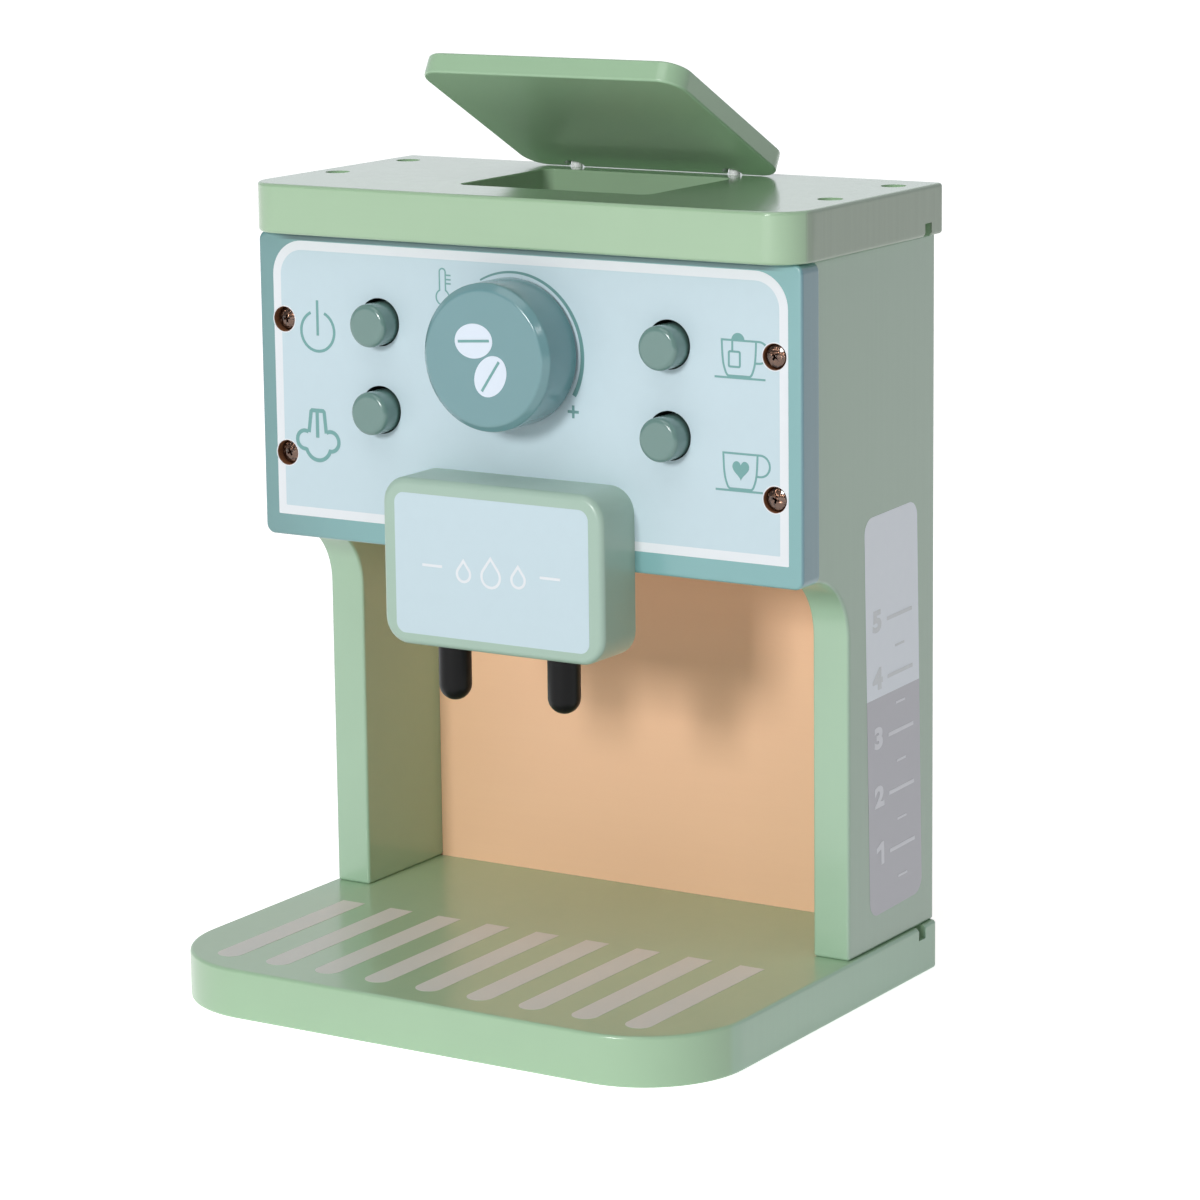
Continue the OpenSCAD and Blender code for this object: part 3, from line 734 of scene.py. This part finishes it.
screw = {
    "head": 3.55, "height": 2.2, "dome": 9.0, "seat": 0.1, "seatHeight": 0.15, "side": 0.95, "round": 0.45,
    "shank": 1.5, "length": 26, "tip": 3,
    "slot": 0.8, "slotReach": 1.8, "slotDepth": 1.5, "slotTaper": (0.35, 0.7, 1),
    "turns": (28, 8, 74, 52), "out": (0.5, 0.4, 1.2, 1.4), "inset": 3.1,
}
bore = {
    "radius": 3.85, "depth": 3.8, "liner": 0.12, "lap": 0.9, "rim": 0.32,
    "seam": 0.01, "top": -0.02, "edge": -0.1,
}
corners = ("lowerLeft", "upperLeft", "lowerRight", "upperRight")
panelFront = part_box("control_panel")[0].y
panelFace = frontPlace(0, panelFront, 0)


def screwSpots():
    low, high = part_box("panel_screws")
    inset = screw["inset"] * mm
    return [(x, z) for x in (low.x + inset, high.x - inset) for z in (low.z + inset, high.z - inset)]


def crossCutter():
    bars = []
    for turn in (0, 90):
        bpy.ops.object.select_all(action="DESELECT")
        bpy.ops.mesh.primitive_cube_add(size=2 * mm, location=(0, 0, screw["height"] * mm))
        bar = bpy.context.active_object
        bar.scale = (screw["slotReach"], screw["slot"] / 2, screw["slotDepth"])
        settle(bar)
        edit(bar)
        selectMesh("DESELECT")
        choose(bar, lambda shape: [face for face in shape.faces if face.normal.z < -0.9])
        bpy.ops.transform.resize(value=screw["slotTaper"])
        done()
        bar.rotation_euler.z = math.radians(turn)
        settle(bar)
        bars.append(bar)
    carve(bars[1], bars[0], operation="UNION")
    return bars[0]


def makePanelScrews():
    s = screw
    profile = (
        [(0, -s["length"]), (s["shank"], s["tip"] - s["length"]), (s["shank"], 0), (s["head"] - s["seat"], 0)]
        + [(s["head"], s["seatHeight"]), (s["head"], s["side"])]
        + arc(s["head"] - s["round"], s["side"], s["round"], 15, 60, 4)
        + arc(0, s["height"] - s["dome"], s["dome"], 70, 90, 10)
    )
    blank = turned("screwBlank", profile, Matrix.Identity(4), 48)
    carve(crossCutter(), blank)
    smooth(blank, 28)
    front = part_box("panel_screws")[0].y + s["height"] * mm
    places = [
        frontPlace(x, front - out * mm, z) @ Matrix.Rotation(math.radians(turn), 4, "Z")
        for (x, z), turn, out in zip(screwSpots(), s["turns"], s["out"])
    ]
    names = [corner + "PanelScrew" for corner in corners]
    scatter(blank, names, places, "case", "bronze_screw", bronze, "panel_screws")


def makeBoreWalls():  # bare board shows in the counterbores round the screws
    outer, low = bore["radius"] - bore["seam"], bore["seam"] - bore["depth"]
    inner, floor = outer - bore["liner"], low + bore["liner"]
    lap = screw["head"] - bore["lap"]
    profile = [(lap, floor), (lap, low), (outer, low), (outer, bore["top"]), (inner, bore["edge"]),
               (inner, floor), (lap, floor)]
    blank = turned("boreBlank", profile, Matrix.Identity(4), 48)
    smooth(blank, 40)
    places = [frontPlace(x, panelFront, z) for x, z in screwSpots()]
    scatter(blank, [corner + "BoreWall" for corner in corners], places, "case", "teal_paint", boardCore)


def cutBores(*pieces):  # prints stop at the rims of the counterbores
    cutters = []
    for x, z in screwSpots():
        bpy.ops.object.select_all(action="DESELECT")
        bpy.ops.mesh.primitive_cylinder_add(
            vertices=64, radius=(bore["radius"] + bore["rim"]) * mm, depth=2 * mm)
        cutter = bpy.context.active_object
        cutter.matrix_world = frontPlace(x, panelFront, z)
        cutters.append(settle(cutter))
    carve(joined("boreCutter", *cutters), *pieces)


def outsideBores(lines, step=0.1):  # lines of a sign, broken off where they would run over a counterbore
    reach = bore["radius"] + bore["rim"]
    spots = [(x / mm, z / mm) for x, z in screwSpots()]
    kept = []
    for line in lines:
        if all(math.dist(p, q) > reach + 3 * step for p in line for q in spots) and len(line) > 2:
            kept.append(line)
            continue
        run = []
        for (x0, z0), (x1, z1) in zip(line, line[1:]):
            count = max(1, round(math.dist((x0, z0), (x1, z1)) / step))
            for i in range(count + 1):
                p = (x0 + (x1 - x0) * i / count, z0 + (z1 - z0) * i / count)
                if all(math.dist(p, q) > reach for q in spots):
                    if not run or math.dist(run[-1], p) > step / 2:
                        run.append(p)
                elif run:
                    kept.append(run)
                    run = []
        if run:
            kept.append(run)
    return kept


def makeBoreRims():  # pale ring where the drill broke the paint
    rims = []
    for x, z in screwSpots():
        rims.append(circle(x / mm, z / mm, bore["radius"] + bore["rim"]))
        rims.append(circle(x / mm, z / mm, bore["radius"] + bore["seam"], True))
    dress(patch("boreRimPrint", rims, panelFace), "case", "teal_paint", whiteInk)


makePanelScrews()
makeBoreWalls()
print("screws made")


# Prints

inkThickness = 0.06 * mm
strokeStep = 0.06  # of an ink's thickness, from one stroke of a sign to the next
fillLevel = 0.9  # of the filled shapes in a sign, just under its strokes


def curveMesh(name, outlines):  # flat outlines, filled and as thick as the ink
    data = bpy.data.curves.new(name, "CURVE")
    data.dimensions = "2D"
    data.fill_mode = "BOTH"
    data.extrude = inkThickness / 2
    for outline in outlines:
        spline = data.splines.new("POLY")
        spline.points.add(len(outline) - 1)
        for point, (x, y) in zip(spline.points, outline):
            point.co = (x * mm, y * mm, 0, 1)
        spline.use_cyclic_u = True
    piece = meshOf(name, data)
    edit(piece)
    selectMesh("SELECT")
    bpy.ops.mesh.remove_doubles(threshold=weld["print"])
    bpy.ops.mesh.normals_make_consistent(inside=False)
    done()
    return piece


def patch(name, outlines, place, level=0):  # filled print; level lifts it over the print below
    piece = curveMesh(name, outlines)
    piece.matrix_world = place @ Matrix.Translation((0, 0, inkThickness * (level + 0.5)))
    return settle(piece)


def ribbon(line, width):  # outlines of a line drawn with a flat pen, mitred at its corners
    closed = math.dist(line[0], line[-1]) < 1e-6
    spots = line[:-1] if closed else line
    count = len(spots)
    left, right = [], []
    for i, (x, z) in enumerate(spots):
        ahead = spots[(i + 1) % count] if closed or i < count - 1 else None
        behind = spots[i - 1] if closed or i else None
        sides = []
        for (x0, z0), (x1, z1) in ((behind or (x, z), (x, z)), ((x, z), ahead or (x, z))):
            length = math.dist((x0, z0), (x1, z1))
            if length:
                sides.append(Vector(((z0 - z1) / length, (x1 - x0) / length)))
        across = sides[0] + sides[-1]
        across *= width / max(across.length_squared, 0.8)  # the limit keeps sharp corners short
        left.append((x + across.x, z + across.y))
        right.append((x - across.x, z - across.y))
    return [left, right[::-1]] if closed else [left + right[::-1]]


def joined(name, *pieces):
    pick(*pieces)
    bpy.ops.object.join()
    pieces[0].name = name
    return pieces[0]


def strokes(name, lines, width, place):  # over a print, each line a hair higher than the one before it
    ribbons = [patch(name, ribbon(line, width), place, 1 + strokeStep * i) for i, line in enumerate(lines)]
    return joined(name, *ribbons)


smallCorner = 0.3  # corners up to this radius take fewer steps


def roundedBox(left, low, right, high, radii, steps=12):  # radii run from lower left to upper left
    a, b, c, d = radii
    turns = ((left + a, low + a, a, 180), (right - b, low + b, b, 270),
             (right - c, high - c, c, 0), (left + d, high - d, d, 90))
    return [
        spot for x, y, radius, start in turns
        for spot in arc(x, y, radius, start, start + 90, steps if radius > smallCorner else 2)
    ]


def plainBox(left, low, right, high):
    return roundedBox(left, low, right, high, (0,) * 4)


panelPrint = {
    "left": -88.75, "right": 89.4, "low": 138.6, "high": 222.6, "border": 2.8, "corner": 10.7,
    "foot": smallCorner, "buttonHole": 7.25, "holeRise": 0.385, "shaftHole": 9.2,
}


def makePanelPrint():
    p = panelPrint
    b, foot, corner = p["border"], p["foot"], p["corner"]
    outer = roundedBox(p["left"], p["low"], p["right"], p["high"], (foot, foot, corner, corner))
    inner = roundedBox(p["left"] + b, p["low"] + b, p["right"] - b, p["high"] - b,
                       (foot, foot, corner - b, corner - b))
    holes = []
    for kind in buttonKinds:
        middle = boxMiddle(kind + "_button") / mm
        holes.append(circle(middle.x, middle.z + p["holeRise"], p["buttonHole"], True))
    middle = boxMiddle("knob") / mm
    holes.append(circle(middle.x, middle.z, p["shaftHole"], True))
    border = patch("panelBorderPrint", [outer, inner[::-1]], panelFace)
    field = patch("panelFieldPrint", [inner] + holes, panelFace)
    cutBores(border, field)
    dress(border, "case", "teal_paint", whiteInk)
    dress(field, "case", "teal_paint", fieldInk)
    makeBoreRims()


def dressSign(piece):
    dress(piece, "case", "teal_paint", symbolInk)


powerSign = {"x": -72.75, "z": 195.5, "radius": 6.05, "gap": 24, "top": 9.4, "bottom": -1.3, "line": 0.88}


def makePowerSign():
    s = powerSign
    ring = arc(s["x"], s["z"], s["radius"], 90 - s["gap"], -270 + s["gap"], 48)
    bar = [(s["x"], s["z"] + s["top"]), (s["x"], s["z"] + s["bottom"])]
    dressSign(strokes("powerSign", [ring, bar], s["line"], panelFace))


steamSign = {
    "x": -73.7, "z": 162.1, "line": 1.2, "jet": (9.1, 0.9),
    "nozzle": ((-3.15, 2.4), (-2.25, 8.8), (-1.85, 9.2), (2.2, 9.2), (2.6, 8.8), (3.2, 2.4)),
    "puffs": ((-4.7, 0.0, 2.8, 62, 270), (0.2, -1.4, 4.6, 200, 340), (4.8, 0.0, 3.0, 270, 480)),
}


def makeSteamSign():
    s = steamSign
    x, z = s["x"], s["z"]
    nozzle = [(x + u, z + v) for u, v in s["nozzle"]]
    jet = [(x, z + rise) for rise in s["jet"]]
    cloud = []
    for u, v, radius, start, end in s["puffs"]:
        cloud += arc(x + u, z + v, radius, start, end, 20)
    dressSign(strokes("steamSign", [nozzle, jet, cloud], s["line"], panelFace))


cups = {
    "tea": {"x": 73.45, "rim": 202.4, "left": -8.0, "right": 8.6},
    "coffee": {"x": 73.75, "rim": 169.95, "left": -8.2, "right": 8.4},
    "line": 0.6, "handle": 3.1, "handleOut": 0.9, "handleLap": 0.2,
    "saucerDrop": 10.75, "footDrop": 9.95, "foot": 3.75,
    "side": ((5.6, 0.0), (5.4, -4.4), (5.0, -7.2), (4.25, -9.4), (3.6, -10.2)),
    "tag": (-3.3, -7.6, 0.3, -3.25), "tagCorner": 0.4, "string": -2.15, "bag": -0.3, "bagRadius": 2.15,
    "heart": (0.1, -4.5), "heartSize": 5.8,
}


def flowing(spots, steps=6):  # smooth line through the given spots
    ends = [spots[0]] + list(spots) + [spots[-1]]
    line = []
    for a, b, c, d in zip(ends, ends[1:], ends[2:], ends[3:]):
        for i in range(steps):
            t = i / steps
            line.append(tuple(
                0.5 * (2 * q + (r - p) * t + (2 * p - 5 * q + 4 * r - s) * t ** 2
                       + (3 * q - p - 3 * r + s) * t ** 3)
                for p, q, r, s in zip(a, b, c, d)))
    return line + [spots[-1]]


def cupStrokes(kind):
    c, k = cups, cups[kind]
    x, top = k["x"], k["rim"]
    side = flowing(c["side"])
    bowl = [(x - u, top + v) for u, v in side] + [(x + u, top + v) for u, v in side[::-1]]
    half, reach = c["side"][0][0], c["handle"]
    turn = arc(x + half + c["handleOut"], top - reach, reach, 90, -90, 16)
    handle = [(x - half - c["line"] / 2, top)] + turn + [(x + half - c["handleLap"], top - 2 * reach)]
    saucer = [(x + k["left"], top - c["saucerDrop"]), (x + k["right"], top - c["saucerDrop"])]
    return [bowl, handle, saucer]


def cupFoot(kind):
    c, k = cups, cups[kind]
    x, top = k["x"], k["rim"]
    foot = plainBox(x - c["foot"], top - c["saucerDrop"], x + c["foot"], top - c["footDrop"])
    return patch("cupFoot", [foot], panelFace, fillLevel)


def makeTeaSign():
    c = cups
    x, top = c["tea"]["x"], c["tea"]["rim"]
    left, low, right, high = c["tag"]
    tag = roundedBox(x + left, top + low, x + right, top + high, (c["tagCorner"],) * 4, 4)
    string = [(x + c["string"], top), (x + c["string"], top + high)]
    lines = outsideBores(cupStrokes("tea")) + [tag + tag[:1], string]
    drawn = strokes("teaSign", lines, c["line"], panelFace)
    bag = patch("teaBag", [arc(x + c["bag"], top, c["bagRadius"], 0, 180, 20)], panelFace, fillLevel)
    dressSign(joined("teaSign", drawn, bag, cupFoot("tea")))


def heartOutline(x, z, size, steps=48):
    spots = []
    for i in range(steps):
        t = math.tau * i / steps
        u = 16 * math.sin(t) ** 3
        v = 13 * math.cos(t) - 5 * math.cos(2 * t) - 2 * math.cos(3 * t) - math.cos(4 * t)
        spots.append((x + u * size / 34, z + v * size / 30))
    return spots


def makeCoffeeSign():
    c, k = cups, cups["coffee"]
    drawn = strokes("coffeeSign", outsideBores(cupStrokes("coffee")), c["line"], panelFace)
    outline = heartOutline(k["x"] + c["heart"][0], k["rim"] + c["heart"][1], c["heartSize"])
    heart = patch("heart", [outline], panelFace, 1)
    dressSign(joined("coffeeSign", drawn, heart, cupFoot("coffee")))


knobScale = {
    "x": -2.2, "z": 193.8, "radius": 24.0, "start": 119.4, "end": -29, "thin": 0.55, "thick": 1.4,
    "plusX": 17.8, "plusZ": 177.8, "plusHalf": 1.9, "plusLine": 0.85,
}
thermometer = {
    "x": -27.2, "top": 217.1, "tube": 1.05, "neck": 210.9, "bulbZ": 208.6, "bulb": 2.3, "line": 0.45,
    "ticks": (215.2, 213.9, 212.7), "tickLength": 1.9,
}


def makeKnobScale():
    s = knobScale
    outer = arc(s["x"], s["z"], s["radius"], s["start"], s["end"], 72)
    inner = []
    for i, (u, v) in enumerate(outer):  # the line grows thicker towards its end
        share = 1 - (s["thin"] + (s["thick"] - s["thin"]) * i / (len(outer) - 1)) / s["radius"]
        inner.append((s["x"] + (u - s["x"]) * share, s["z"] + (v - s["z"]) * share))
    line = patch("knobScale", [outer + inner[::-1]], panelFace, 1)
    level = [(s["plusX"] - s["plusHalf"], s["plusZ"]), (s["plusX"] + s["plusHalf"], s["plusZ"])]
    upright = [(s["plusX"], s["plusZ"] - s["plusHalf"]), (s["plusX"], s["plusZ"] + s["plusHalf"])]
    plus = strokes("plus", [level, upright], s["plusLine"], panelFace)
    dress(joined("knobScale", line, plus), "case", "teal_paint", scaleInk)


def makeThermometer():
    t = thermometer
    opening = math.degrees(math.asin(t["tube"] / t["bulb"]))
    outline = (
        arc(t["x"], t["top"] - t["tube"], t["tube"], 0, 180, 12)
        + [(t["x"] - t["tube"], t["neck"])]
        + arc(t["x"], t["bulbZ"], t["bulb"], 90 + opening, 450 - opening, 28)
        + [(t["x"] + t["tube"], t["neck"]), (t["x"] + t["tube"], t["top"] - t["tube"])]
    )
    start = t["x"] + t["tube"]
    ticks = [[(start, z), (start + t["tickLength"], z)] for z in t["ticks"]]
    dressSign(strokes("thermometerSign", [outline] + ticks, t["line"], panelFace))


makePanelPrint()
makeButtonWells()
makePowerSign()
makeSteamSign()
makeTeaSign()
makeCoffeeSign()
makeKnobScale()
makeThermometer()
print("panel printed")


beans = {"long": 6.5, "short": 5.1, "line": 0.8, "slit": 5.4,
         "spots": ((-5.3, 199.2, 4), (0.35, 189.2, 56))}


def ellipse(x, z, long, short, turn, steps=48):
    c, s = math.cos(math.radians(turn)), math.sin(math.radians(turn))
    spots = []
    for i in range(steps):
        u, v = long * math.cos(math.tau * i / steps), short * math.sin(math.tau * i / steps)
        spots.append((x + u * c - v * s, z + u * s + v * c))
    return spots


def makeBeans():
    face = frontPlace(0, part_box("knob")[0].y, 0)
    ovals, slits = [], []
    for x, z, turn in beans["spots"]:
        ovals.append(ellipse(x, z, beans["long"], beans["short"], turn))
        c, s = math.cos(math.radians(turn)) * beans["slit"], math.sin(math.radians(turn)) * beans["slit"]
        slits.append([(x - c, z - s), (x + c, z + s)])
    dress(patch("knobBeans", ovals, face), "knob", "knob_paint", beanInk)
    dress(strokes("knobBeanSlits", slits, beans["line"], face), "knob", "knob_paint", symbolInk)


headPrint = {
    "half": 33.6, "low": 110.7, "high": 152.9, "corner": 3.2, "line": 0.8,
    "drops": ((-9.5, 2.3), (0, 3.2), (9.5, 2.3)), "dropLow": 1.5, "dropTip": 1.7,
    "bars": (-24, 17), "barLength": 7,
}


def dropOutline(x, z, size):  # a falling drop with its tip up
    belly = arc(x, z, size, 150, 390, 28)
    tip = (x, z + size * headPrint["dropTip"])
    return belly + [tip, belly[0]]


def makeHeadPrint():
    h = headPrint
    face = frontPlace(0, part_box("brew_head")[0].y, 0)
    area = roundedBox(-h["half"], h["low"], h["half"], h["high"], (h["corner"],) * 4)
    dress(patch("headFieldPrint", [area], face), "case", "mint_paint", fieldInk)
    middle = (h["low"] + h["high"]) / 2
    drops = [dropOutline(x, middle - h["dropLow"], size) for x, size in h["drops"]]
    bars = [[(x, middle), (x + h["barLength"], middle)] for x in h["bars"]]
    dress(strokes("headDropsPrint", drops + bars, h["line"], face), "case", "mint_paint", whiteInk)


gauge = {
    "front": 32.7, "rear": 65.5, "low": 25.2, "high": 146.2, "change": 91.4, "corner": 4.8,
    "levels": ((5, 114.1), (4, 96.6), (3, 78.7), (2, 60.8), (1, 43.0)),
    "numberY": 39.5, "numberHeight": 6.1, "numberLift": 0.65, "numberBold": 0.42, "numberWidth": 1.3,
    "tickFront": 45.6, "tickRear": 61.3, "tickLine": 1.15,
    "minorFront": 50.6, "minorRear": 56.2, "minorLine": 0.7, "minorDrop": 9.2,
    "tilt": 1.75,       # degrees
    "capital": 0.72,    # height of a figure as a share of the letter size
}


def numeral(number, z, place):
    g = gauge
    data = bpy.data.curves.new("numeral", "FONT")
    data.body = str(number)
    data.size = g["numberHeight"] / g["capital"] * mm
    data.align_x = "CENTER"
    data.extrude = inkThickness / 2
    data.offset = g["numberBold"] * mm
    piece = meshOf("numeral", data)
    foot = (z - g["numberHeight"] / 2) * mm
    lift = Matrix.Translation((g["numberY"] * mm, foot, inkThickness * 1.5))
    piece.matrix_world = place @ lift @ Matrix.Diagonal((g["numberWidth"], 1, 1, 1))
    return settle(piece)


heavyOne = {"stem": (0.5, 2.3), "top": 0.9, "flag": -2.2, "flagDrops": (1.5, 3.0), "under": 2.2}


def one(z, place):  # a heavy 1 with a flag
    y, spread = gauge["numberY"], gauge["numberHeight"] / 2 + gauge["numberBold"]
    left, right = (y + edge for edge in heavyOne["stem"])
    low, high, flag = z - spread, z + spread, y + heavyOne["flag"]
    outline = [(left, low), (right, low), (right, high), (y + heavyOne["top"], high)]
    outline += [(flag, high - drop) for drop in heavyOne["flagDrops"]]
    outline.append((left, high - heavyOne["under"]))
    return patch("numeral", [outline], place, 1)


def tick(front, rear, z, line, place):
    return patch("tick", [plainBox(front, z - line / 2, rear, z + line / 2)], place, 1)


def makeGauge():
    g = gauge
    middle = Vector((0, (g["front"] + g["rear"]) / 2 * mm, (g["low"] + g["high"]) / 2 * mm))
    turn = Matrix.Rotation(math.radians(g["tilt"]), 4, "X")
    tilt = Matrix.Translation(middle) @ turn @ Matrix.Translation(-middle)
    face = tilt @ facePlace((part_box("right_side")[1].x, 0, 0), (0, 1, 0), (0, 0, 1))
    pale = roundedBox(g["front"], g["change"], g["rear"], g["high"], (0, 0, g["corner"], g["corner"]))
    grey = roundedBox(g["front"], g["low"], g["rear"], g["change"], (g["corner"], g["corner"], 0, 0))
    dress(patch("gaugePalePrint", [pale], face), "case", "green_paint", gaugePaleInk)
    dress(patch("gaugeGreyPrint", [grey], face), "case", "green_paint", gaugeGreyInk)
    for part, ink, above in (("Upper", gaugeMarkInk, True), ("Lower", gaugeLightInk, False)):
        marks = []
        for number, z in g["levels"]:
            if (z > g["change"]) == above:
                marks.append(tick(g["tickFront"], g["tickRear"], z, g["tickLine"], face))
                spot = z + g["numberLift"]
                marks.append(one(spot, face) if number == 1 else numeral(number, spot, face))
        for number, z in g["levels"]:
            low = z - g["minorDrop"]
            if (low > g["change"]) == above:
                marks.append(tick(g["minorFront"], g["minorRear"], low, g["minorLine"], face))
        dress(joined("gaugeMarks" + part, *marks), "case", "green_paint", ink)


stripes = {"step": 17.83, "count": 9, "middle": -1.25, "half": 4.1, "front": -65.1, "rear": 2.7}


def makeStripes():
    s = stripes
    face = facePlace((0, 0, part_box("base_board")[1].z), (1, 0, 0), (0, 1, 0))
    bars = []
    for i in range(s["count"]):
        x = s["middle"] + (i - (s["count"] - 1) / 2) * s["step"]
        front = arc(x, s["front"] + s["half"], s["half"], 180, 360, 20)
        bars.append(front + [(x + s["half"], s["rear"]), (x - s["half"], s["rear"])])
    dress(patch("baseStripes", bars, face), "case", "green_paint", stripeInk)


makeBeans()
makeHeadPrint()
makeGauge()
makeStripes()
print("prints made")


# Pieces that keep their CAD mesh

kept = (
    (peachPly, ("back_panel", "chamber_floor", "left_bracket", "right_bracket")),
    (beech, ("floor_dowels", "knob_shaft")),
    (nylon, ("knob_spacer",)),
    (greenPaint, ("top_plugs",)),
    (steel, ("knob_washer", "knob_screw", "left_hinge_pin", "right_hinge_pin", "brew_head_screws",
             "bracket_screws", "top_screws", "base_screws")),
    (steel, [kind + "_spring" for kind in buttonKinds]),
)
for finish, nodes in kept:
    for node in nodes:
        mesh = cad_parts[node].data
        mesh.materials.clear()
        mesh.materials.append(finish)
print("kept nodes painted")


# Floor, light and camera

stage = {
    "floorSize": 12.0, "floorColour": (0.93, 0.93, 0.93, 1), "floorBounce": 0.2,
    "floorGlow": 0.82, "floorFade": (0.3, 1.1),         # dimmer near the machine, white beyond
    "worldLeft": 0.1, "worldRight": 0.23, "fillColour": (0.93, 0.97, 1.0, 1),
    "frontGlow": 0.28, "backGlow": 0.93, "glowFade": (-0.5, 0.6),
}


def makeFloor():
    bpy.ops.object.select_all(action="DESELECT")
    bpy.ops.mesh.primitive_plane_add(size=stage["floorSize"], location=(0, 0, 0))
    floor = bpy.context.active_object
    floor.name = "floor"
    made = bpy.data.materials.new("floor")
    made.use_nodes = True
    tree = made.node_tree
    shader = tree.nodes["Principled BSDF"]
    wire = Wire(tree)
    seen = wire.maths("MAXIMUM", wire.rays("Camera"), wire.rays("Glossy"))
    spot = wire.node("ShaderNodeTexCoord", out="Object")
    far = wire.node("ShaderNodeVectorMath", {"operation": "LENGTH"}, {0: spot}, "Value")
    white = far.fade(*stage["floorFade"], stage["floorGlow"], 1.0)
    glow = seen * (white - stage["floorBounce"]) + stage["floorBounce"]
    tree.links.new(glow.socket, shader.inputs["Emission Color"])
    shader.inputs["Emission Strength"].default_value = 1
    shader.inputs["Base Color"].default_value = stage["floorColour"]
    shader.inputs["Roughness"].default_value = 0.9
    shader.inputs["Specular IOR Level"].default_value = 0.0
    floor.data.materials.append(made)


# The camera sees white. Mirrored light is white behind the machine and dimmer in front of it.
def makeWorld():
    world = bpy.data.worlds.new("studio")
    bpy.context.scene.world = world
    world.use_nodes = True
    tree = world.node_tree
    background = tree.nodes["Background"]
    wire = Wire(tree)
    seen, glossy = wire.rays("Camera"), wire.rays("Glossy")
    soft = wire.spot("X", "Generated").fade(-1.0, 1.0, stage["worldLeft"], stage["worldRight"], "LINEAR")
    depth = wire.spot("Y", "Generated")
    mirrored = depth.fade(*stage["glowFade"], stage["frontGlow"], stage["backGlow"])
    fill = glossy * (mirrored - soft) + soft
    strength = seen * (1 - fill) + fill
    tree.links.new(strength.socket, background.inputs["Strength"])
    colour = seen.blend(stage["fillColour"], (1, 1, 1, 1))
    tree.links.new(colour.socket, background.inputs["Color"])


lamps = {
    "key": {"place": (-0.12, -2.85, 1.02), "size": 0.6, "power": 46},
    "top": {"place": (0.0, -0.7, 1.5), "size": 1.0, "power": 5},
    "glint": {"place": (0.85, -0.71, 0.8), "size": 0.15, "power": 0.5},
}
lampAim = Vector((0, 0, 0.13))


def makeLamps():
    for name, lamp in lamps.items():
        data = bpy.data.lights.new(name, "AREA")
        data.size = lamp["size"]
        data.energy = lamp["power"]
        thing = linked(name, data)
        thing.location = lamp["place"]
        thing.rotation_euler = (lampAim - Vector(lamp["place"])).to_track_quat("-Z", "Y").to_euler()


camera = {
    "azimuth": 32.147, "elevation": 10.853, "roll": -0.718, "distance": 1.2545,
    "target": (0.01709, 0, 0.13969), "focalPixels": 4269.1, "middleX": 589.39, "middleY": 535.38,
    "frame": 1200, "sensor": 36, "clip": (0.05, 50),
}


def makeCamera():
    c = camera
    turn, lift, roll = (math.radians(c[k]) for k in ("azimuth", "elevation", "roll"))
    back = Vector((math.sin(turn) * math.cos(lift), -math.cos(turn) * math.cos(lift), math.sin(lift)))
    level = Vector((math.cos(turn), math.sin(turn), 0))
    upright = back.cross(level)
    right = level * math.cos(roll) + upright * math.sin(roll)
    up = upright * math.cos(roll) - level * math.sin(roll)
    data = bpy.data.cameras.new("camera")
    data.sensor_width = c["sensor"]
    data.lens = c["focalPixels"] / c["frame"] * c["sensor"]
    data.shift_x = (c["frame"] / 2 - c["middleX"]) / c["frame"]
    data.shift_y = (c["middleY"] - c["frame"] / 2) / c["frame"]
    data.clip_start, data.clip_end = c["clip"]
    thing = linked("camera", data)
    place = Matrix((right, up, back)).transposed().to_4x4()
    thing.matrix_world = Matrix.Translation(Vector(c["target"]) + back * c["distance"]) @ place
    bpy.context.scene.camera = thing


makeFloor()
makeWorld()
makeLamps()
makeCamera()
bpy.context.scene.view_settings.view_transform = "Standard"
print("stage set")
